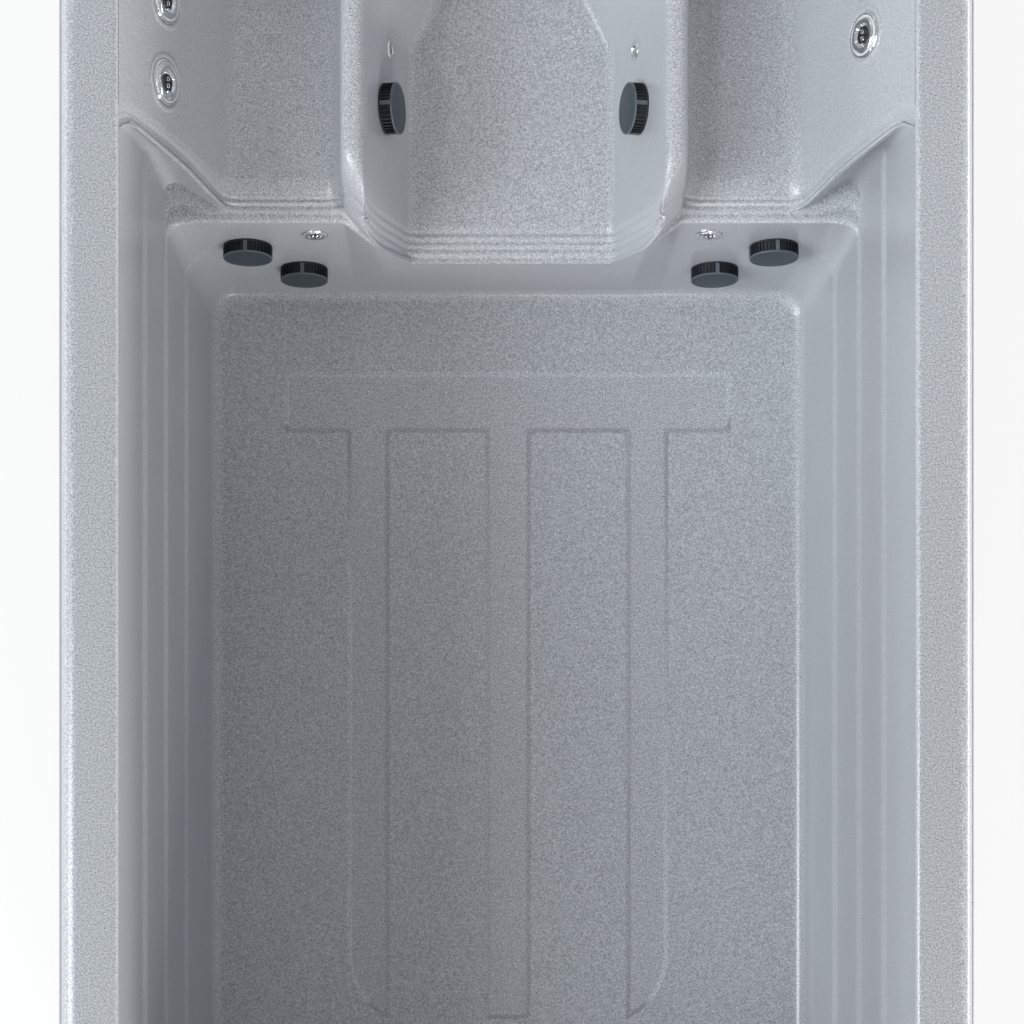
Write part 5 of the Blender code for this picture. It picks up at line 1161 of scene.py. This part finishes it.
def slab(half_x, half_y, corner, levels, ink=0):
    """Rounded slab; a level is (grow, height)."""
    bm = bmesh.new()
    levels = [(grow, height, max(corner + grow, 0.0005)) for grow, height in levels]
    grid = rounded_rows(bm, half_x, half_y, levels, 8)
    sheet(bm, grid, ink=ink)
    bm.faces.new(grid[-1]).material_index = ink
    bm.faces.new(grid[0][::-1]).material_index = ink
    return bm


case_levels = [
    (-0.0004, 0.0003), (0.0, 0.0012), (0.0, 0.0058), (-0.0008, 0.0072), (-0.0024, 0.0078), (-0.004, 0.008)]
display_levels = [(0.0, 0.0076), (-0.0004, 0.00805), (-0.001, 0.0081)]
panel_parts = [
    slab(0.095, 0.031, 0.014, case_levels), (slab(0.034, 0.018, 0.004, display_levels, 1), at(-0.046, 0.0, 0.0))]
for x in button_xs:
    ring = lathed((0.0118, 0.0078), (0.0112, 0.0084, 0.0003), (0.0094, 0.0084, 0.0003), (0.0088, 0.008), sides=48)
    well = turned([(0.009, 0.0079), (0.0086, 0.0081), (0.0, 0.00812)], 40, 1)
    panel_parts += [(ring, at(x, 0.0, 0.0)), (well, at(x, 0.0, 0.0))]
fitting("control_panel_face", merged(*panel_parts), at(0.0, panel_y, rim_top), [black_trim, display_glass],
        "spa", ["control_panel"])
for number, x in enumerate(button_xs, 1):
    cap = lathed((0.0079, 0.0044), (0.008, 0.0098, 0.001), (0.006, 0.0108, 0.0008), (0.0, 0.0106), sides=48)
    mark = block((-0.003, -0.0006, 0.0104), (0.003, 0.0006, 0.01095), 0.0002, 1)
    place = at(x, panel_y, rim_top + 0.0003)
    fitting("button_cap_%d" % number, merged(cap, mark), place, [soft_button, white_plastic],
            "button_%d" % number, ["panel_button_%d" % number])
for side, side_name in ((-1, "left"), (1, "right")):
    knob = lathed(
        (0.008, -0.0077), (0.008, 0.0), (0.0252, 0.0004), (0.0258, 0.002, 0.001), (0.0258, 0.016, 0.002),
        (0.022, 0.0194, 0.003), (0.014, 0.019, 0.002), (0.0, 0.0182), sides=96, lobes=6, lobe_share=0.045)
    pointer = block((0.006, -0.0011, 0.0182), (0.0205, 0.0011, 0.0198), 0.0005, 1)
    place = at(side * 0.42, panel_y, rim_top)
    body_name, node_names = "air_knob_%s_body" % side_name, ["air_knob_" + side_name]
    fitting("knob_" + side_name, merged(knob, pointer), place, chromed, body_name, node_names)

# Frame, pan and cabinet
# Welded square tubes carry the lip and the floor; composite planks and corner posts clad them on all sides,
# and a moulded pan closes the underside. Stainless screws hold the lift-off panel at the seat end.
def zinc_finish():
    """Hot-dip zinc with its large, faint crystals."""
    material = finish("galvanised_steel", (0.52, 0.54, 0.56), 0.42, metal=0.85, scale=180.0, depth=0.08, vary=0.06)
    tree = material.node_tree
    shader = tree.nodes["Principled BSDF"]
    place = add_node(tree, "ShaderNodeTexCoord").outputs["Object"]
    crystals = add_node(tree, "ShaderNodeTexVoronoi", {"Vector": place, "Scale": 46.0}).outputs["Color"]
    base = shader.inputs["Base Color"].links[0].from_socket
    inputs = {"Factor": 0.3, "A": base, "B": crystals}
    tone = add_node(tree, "ShaderNodeMix", inputs, data_type="RGBA", blend_type="SOFT_LIGHT").outputs["Result"]
    grey = add_node(tree, "ShaderNodeHueSaturation", {"Saturation": 0.12, "Color": tone})
    set_inputs(tree, shader, {"Base Color": grey.outputs["Color"]})
    return material


def plank_finish():
    """Grey composite planks: long wood grain pressed in the face, each plank a little different."""
    material = finish("cabinet_planks", (0.115, 0.117, 0.122), 0.62, scale=300.0, depth=0.15, vary=0.1)
    tree = material.node_tree
    shader = tree.nodes["Principled BSDF"]
    place = add_node(tree, "ShaderNodeTexCoord").outputs["Object"]
    stretched = add_node(tree, "ShaderNodeMapping", {"Vector": place, "Scale": (2.2, 2.2, 90.0)}).outputs["Vector"]
    sizes = {"Scale": 2.4, "Detail": 7.0, "Distortion": 0.6}
    grain = add_node(tree, "ShaderNodeTexNoise", {"Vector": stretched, **sizes}).outputs["Fac"]
    height = add_node(tree, "ShaderNodeSeparateXYZ", {0: place}).outputs["Z"]
    per_metre, lowest = 8 / 1.219, 0.0123
    inputs = {0: height, 1: per_metre, 2: -lowest * per_metre}
    count = add_node(tree, "ShaderNodeMath", inputs, operation="MULTIPLY_ADD").outputs[0]
    plank = add_node(tree, "ShaderNodeMath", {0: count}, operation="FLOOR").outputs[0]
    chance = add_node(tree, "ShaderNodeTexWhiteNoise", noise_dimensions="1D")
    set_inputs(tree, chance, {"W": plank})
    shade = add_node(tree, "ShaderNodeMapRange", {"Value": chance.outputs["Value"], "To Min": 0.82, "To Max": 1.18})
    limits = {"From Min": 0.3, "From Max": 0.7, "To Min": 0.62, "To Max": 1.35}
    lines = add_node(tree, "ShaderNodeMapRange", {"Value": grain, **limits})
    both = add_node(tree, "ShaderNodeMath", {0: shade.outputs[0], 1: lines.outputs[0]}, operation="MULTIPLY")
    base = shader.inputs["Base Color"].links[0].from_socket
    tint = add_node(tree, "ShaderNodeVectorMath", {0: base, "Scale": both.outputs[0]}, operation="SCALE")
    bump = add_node(tree, "ShaderNodeBump", {"Strength": 0.5, "Distance": 0.0012, "Height": grain})
    set_inputs(tree, shader, {"Base Color": tint.outputs[0], "Normal": bump.outputs["Normal"]})
    return material


zinc = zinc_finish()
planks = plank_finish()
pan_plastic = finish("pan_plastic", (0.03, 0.031, 0.034), 0.65, scale=240.0, depth=0.4)
edge_trim = finish("edge_trim", (0.4, 0.415, 0.43), 0.45, scale=520.0, depth=0.35)
for node_name in ("frame_left", "frame_right", "frame_seat_end", "frame_swim_end", "floor_cradle"):
    dress(node_name, zinc, 0.003)
for corner in ("seat_left", "seat_right", "swim_left", "swim_right"):
    dress("corner_post_" + corner, black_trim, 0.002)
for panel in ("side_panel_left_seat", "side_panel_left_swim", "side_panel_right_seat", "side_panel_right_swim",
              "end_panel_swim", "access_panel_seat"):
    dress(panel, planks, 0.0012)
dress("base_pan", pan_plastic, 0.003)
dress("lip_trim", edge_trim, 0.0015)
screws = []
for x in (-0.93, 0.93):
    for z in (0.1, 0.4, 0.71, 1.01, 1.16):
        head = lathed(
            (0.0075, 0.0), (0.0072, -0.0008), (0.0068, 0.0001, 0.0003), (0.0022, 0.0002), (0.0018, -0.0006),
            (0.0, -0.0006), sides=28)
        screws.append((head, on_wall((x, 1.9768, z), (0.0, 1.0, 0.0))))
fitting("panel_screws", merged(*screws), None, [bright_chrome], "access_panel")

# Equipment under the seats
# Two finned pumps, the heater tube and the control box stand on the pan; white pipes run from the pumps along
# both sides to the swim jets.
motor_paint = finish("motor_paint", (0.045, 0.05, 0.06), 0.38, scale=200.0, depth=0.18)
pipe_white = finish("pipe_white", (0.78, 0.78, 0.76), 0.4, scale=90.0, depth=0.04, vary=0.03)
pump_y, pump_z, outlet_x = 1.5, 0.1623, 0.805
pipe_x, pipe_y, pipe_low, pipe_high = 0.985, -1.866, 0.42, 0.66


def pipe(points, radius, bend, sides=28):
    """Round pipe through points, each corner swept in a true bend."""
    spots = [Vector(point) for point in points]
    route = [spots[0]]
    for before, corner, after in zip(spots, spots[1:], spots[2:]):
        arriving, leaving = (corner - before).normalized(), (after - corner).normalized()
        start, stop = corner - arriving * bend, corner + leaving * bend
        for step in range(9):
            t = step / 8
            a, b, c = (1 - t) ** 2, 2 * t * (1 - t) * 0.7071, t ** 2
            route.append((start * a + corner * b + stop * c) / (a + b + c))
    route.append(spots[-1])
    bm = bmesh.new()
    rows = []
    side = (route[1] - route[0]).normalized().orthogonal().normalized()
    for i, here in enumerate(route):
        before, after = route[max(i - 1, 0)], route[min(i + 1, len(route) - 1)]
        along = (after - before).normalized()
        side = (side - along * side.dot(along)).normalized()
        other = along.cross(side)
        turns = [math.tau * k / sides for k in range(sides)]
        rows.append([bm.verts.new(here + (side * math.cos(turn) + other * math.sin(turn)) * radius) for turn in turns])
    sheet(bm, rows)
    bm.faces.new(rows[0][::-1])
    bm.faces.new(rows[-1])
    return bm


pipes = []
for side in (-1, 1):
    x0, x1 = side * outlet_x, side * pipe_x
    run = [(x0, pump_y, 0.2926), (x0, pump_y, pipe_low), (x1, pump_y, pipe_low), (x1, pipe_y, pipe_low),
           (x1, pipe_y, pipe_high), (0.0, pipe_y, pipe_high)]
    pipes.append(pipe(run, 0.0298, 0.08))
    for point, outward in (
            ((x0, pump_y, 0.31), (0, 0, 1)), ((x1, 0.6, pipe_low), (0, 1, 0)), ((x1, -0.6, pipe_low), (0, 1, 0)),
            ((side * 0.7, pipe_y, pipe_high), (1, 0, 0))):
        collar = lathed((0.026, -0.02), (0.03, -0.02, 0.001), (0.03, 0.02, 0.001), (0.026, 0.02), sides=40)
        turn = Vector(outward).to_track_quat("Z", "Y").to_matrix().to_4x4()
        pipes.append((collar, at(*point) @ turn))
for x, y, z in swim_jet_spots:
    pipes.append(pipe([(x, pipe_y, pipe_high), (x, pipe_y, 0.833)], 0.0219, 0.02))
fitting("supply_pipes", merged(*pipes), None, [pipe_white], "spa", ["jet_plumbing"], soft=40)

for side, side_name in ((-1, "left"), (1, "right")):
    axis = at(side * 0.62, pump_y, pump_z) @ Matrix.Rotation(side * math.pi / 2, 4, "Y")
    motor = lathed(
        (0.0, -0.1895), (0.06, -0.188, 0.006), (0.073, -0.16, 0.004), (0.073, -0.14, 0.001),
        (0.072, -0.139), (0.072, 0.13), (0.079, 0.131, 0.001), (0.079, 0.1395, 0.001), (0.104, 0.1405, 0.003),
        (0.1048, 0.229, 0.01), (0.07, 0.2296, 0.004), (0.048, 0.232, 0.002), (0.048, 0.256, 0.002),
        (0.0355, 0.257, 0.001), (0.0355, 0.2798, 0.001), (0.028, 0.2798), (0.027, 0.23), (0.0, 0.23), sides=80)
    fins = rib_ring(36, 0.0755, (0.007, 0.0022, 0.26), -0.005, motor_paint)
    bolts = rib_ring(8, 0.096, (0.007, 0.007, 0.003), 0.229, bright_chrome, 1)
    outlet = lathed(
        (0.0355, 0.0), (0.0355, 0.09), (0.0358, 0.095, 0.001), (0.0358, 0.1296, 0.001), (0.029, 0.1296), sides=48)
    foot = block((-0.066, -0.054, 0.0124), (0.066, 0.054, 0.02), 0.002)
    stand = block((-0.06, -0.03, 0.018), (0.06, 0.03, 0.1), 0.004)
    wiring = block((-0.06, -0.04, 0.075), (0.05, 0.04, 0.1), 0.006)
    floor, top = at(side * 0.62, pump_y, 0.0), at(side * 0.62, pump_y, 0.1423)
    pump = merged(
        (motor, axis), (fins, axis), (bolts, axis), (outlet, at(side * outlet_x, pump_y, pump_z)), (foot, floor),
        (stand, floor), (wiring, top))
    looks, node_names = [motor_paint, bright_chrome], ["jet_pump_" + side_name]
    fitting("pump_" + side_name, pump, None, looks, "spa", node_names)

heater_axis = at(0.0, 1.24, 0.1123) @ Matrix.Rotation(math.pi / 2, 4, "Y")
tube = lathed(
    (0.0, -0.1898), (0.03, -0.1898), (0.0455, -0.189, 0.001), (0.0455, -0.146, 0.001), (0.032, -0.145, 0.001),
    (0.032, 0.145, 0.001), (0.0455, 0.146, 0.001), (0.0455, 0.189, 0.001), (0.03, 0.1898), (0.0, 0.1898))
grips = [rib_ring(16, 0.045, (0.002, 0.006, 0.038), lift, black_trim, 1) for lift in (-0.1675, 0.1675)]
saddles = [block((x - 0.019, 1.225, 0.0124), (x + 0.019, 1.255, 0.1), 0.002, 1) for x in (-0.105, 0.105)]
heater = merged((tube, heater_axis), *[(grip, heater_axis) for grip in grips], *saddles)
fitting("heater_tube", heater, None, [zinc, black_trim], "spa", ["heater"])
box_parts = [
    block((-0.1795, 1.7005, 0.0124), (0.1795, 1.8395, 0.3115), 0.006),
    block((-0.165, 1.837, 0.03), (0.165, 1.8399, 0.295), 0.001)]
for x in (-0.155, 0.155):
    for z in (0.045, 0.28):
        head = turned([(0.0055, 0.0), (0.005, 0.0), (0.0, 0.0)], 24, 1)
        box_parts.append((head, on_wall((x, 1.83995, z), (0, 1, 0))))
looks = [motor_paint, bright_chrome]
fitting("control_box_case", merged(*box_parts), None, looks, "spa", ["control_box"])
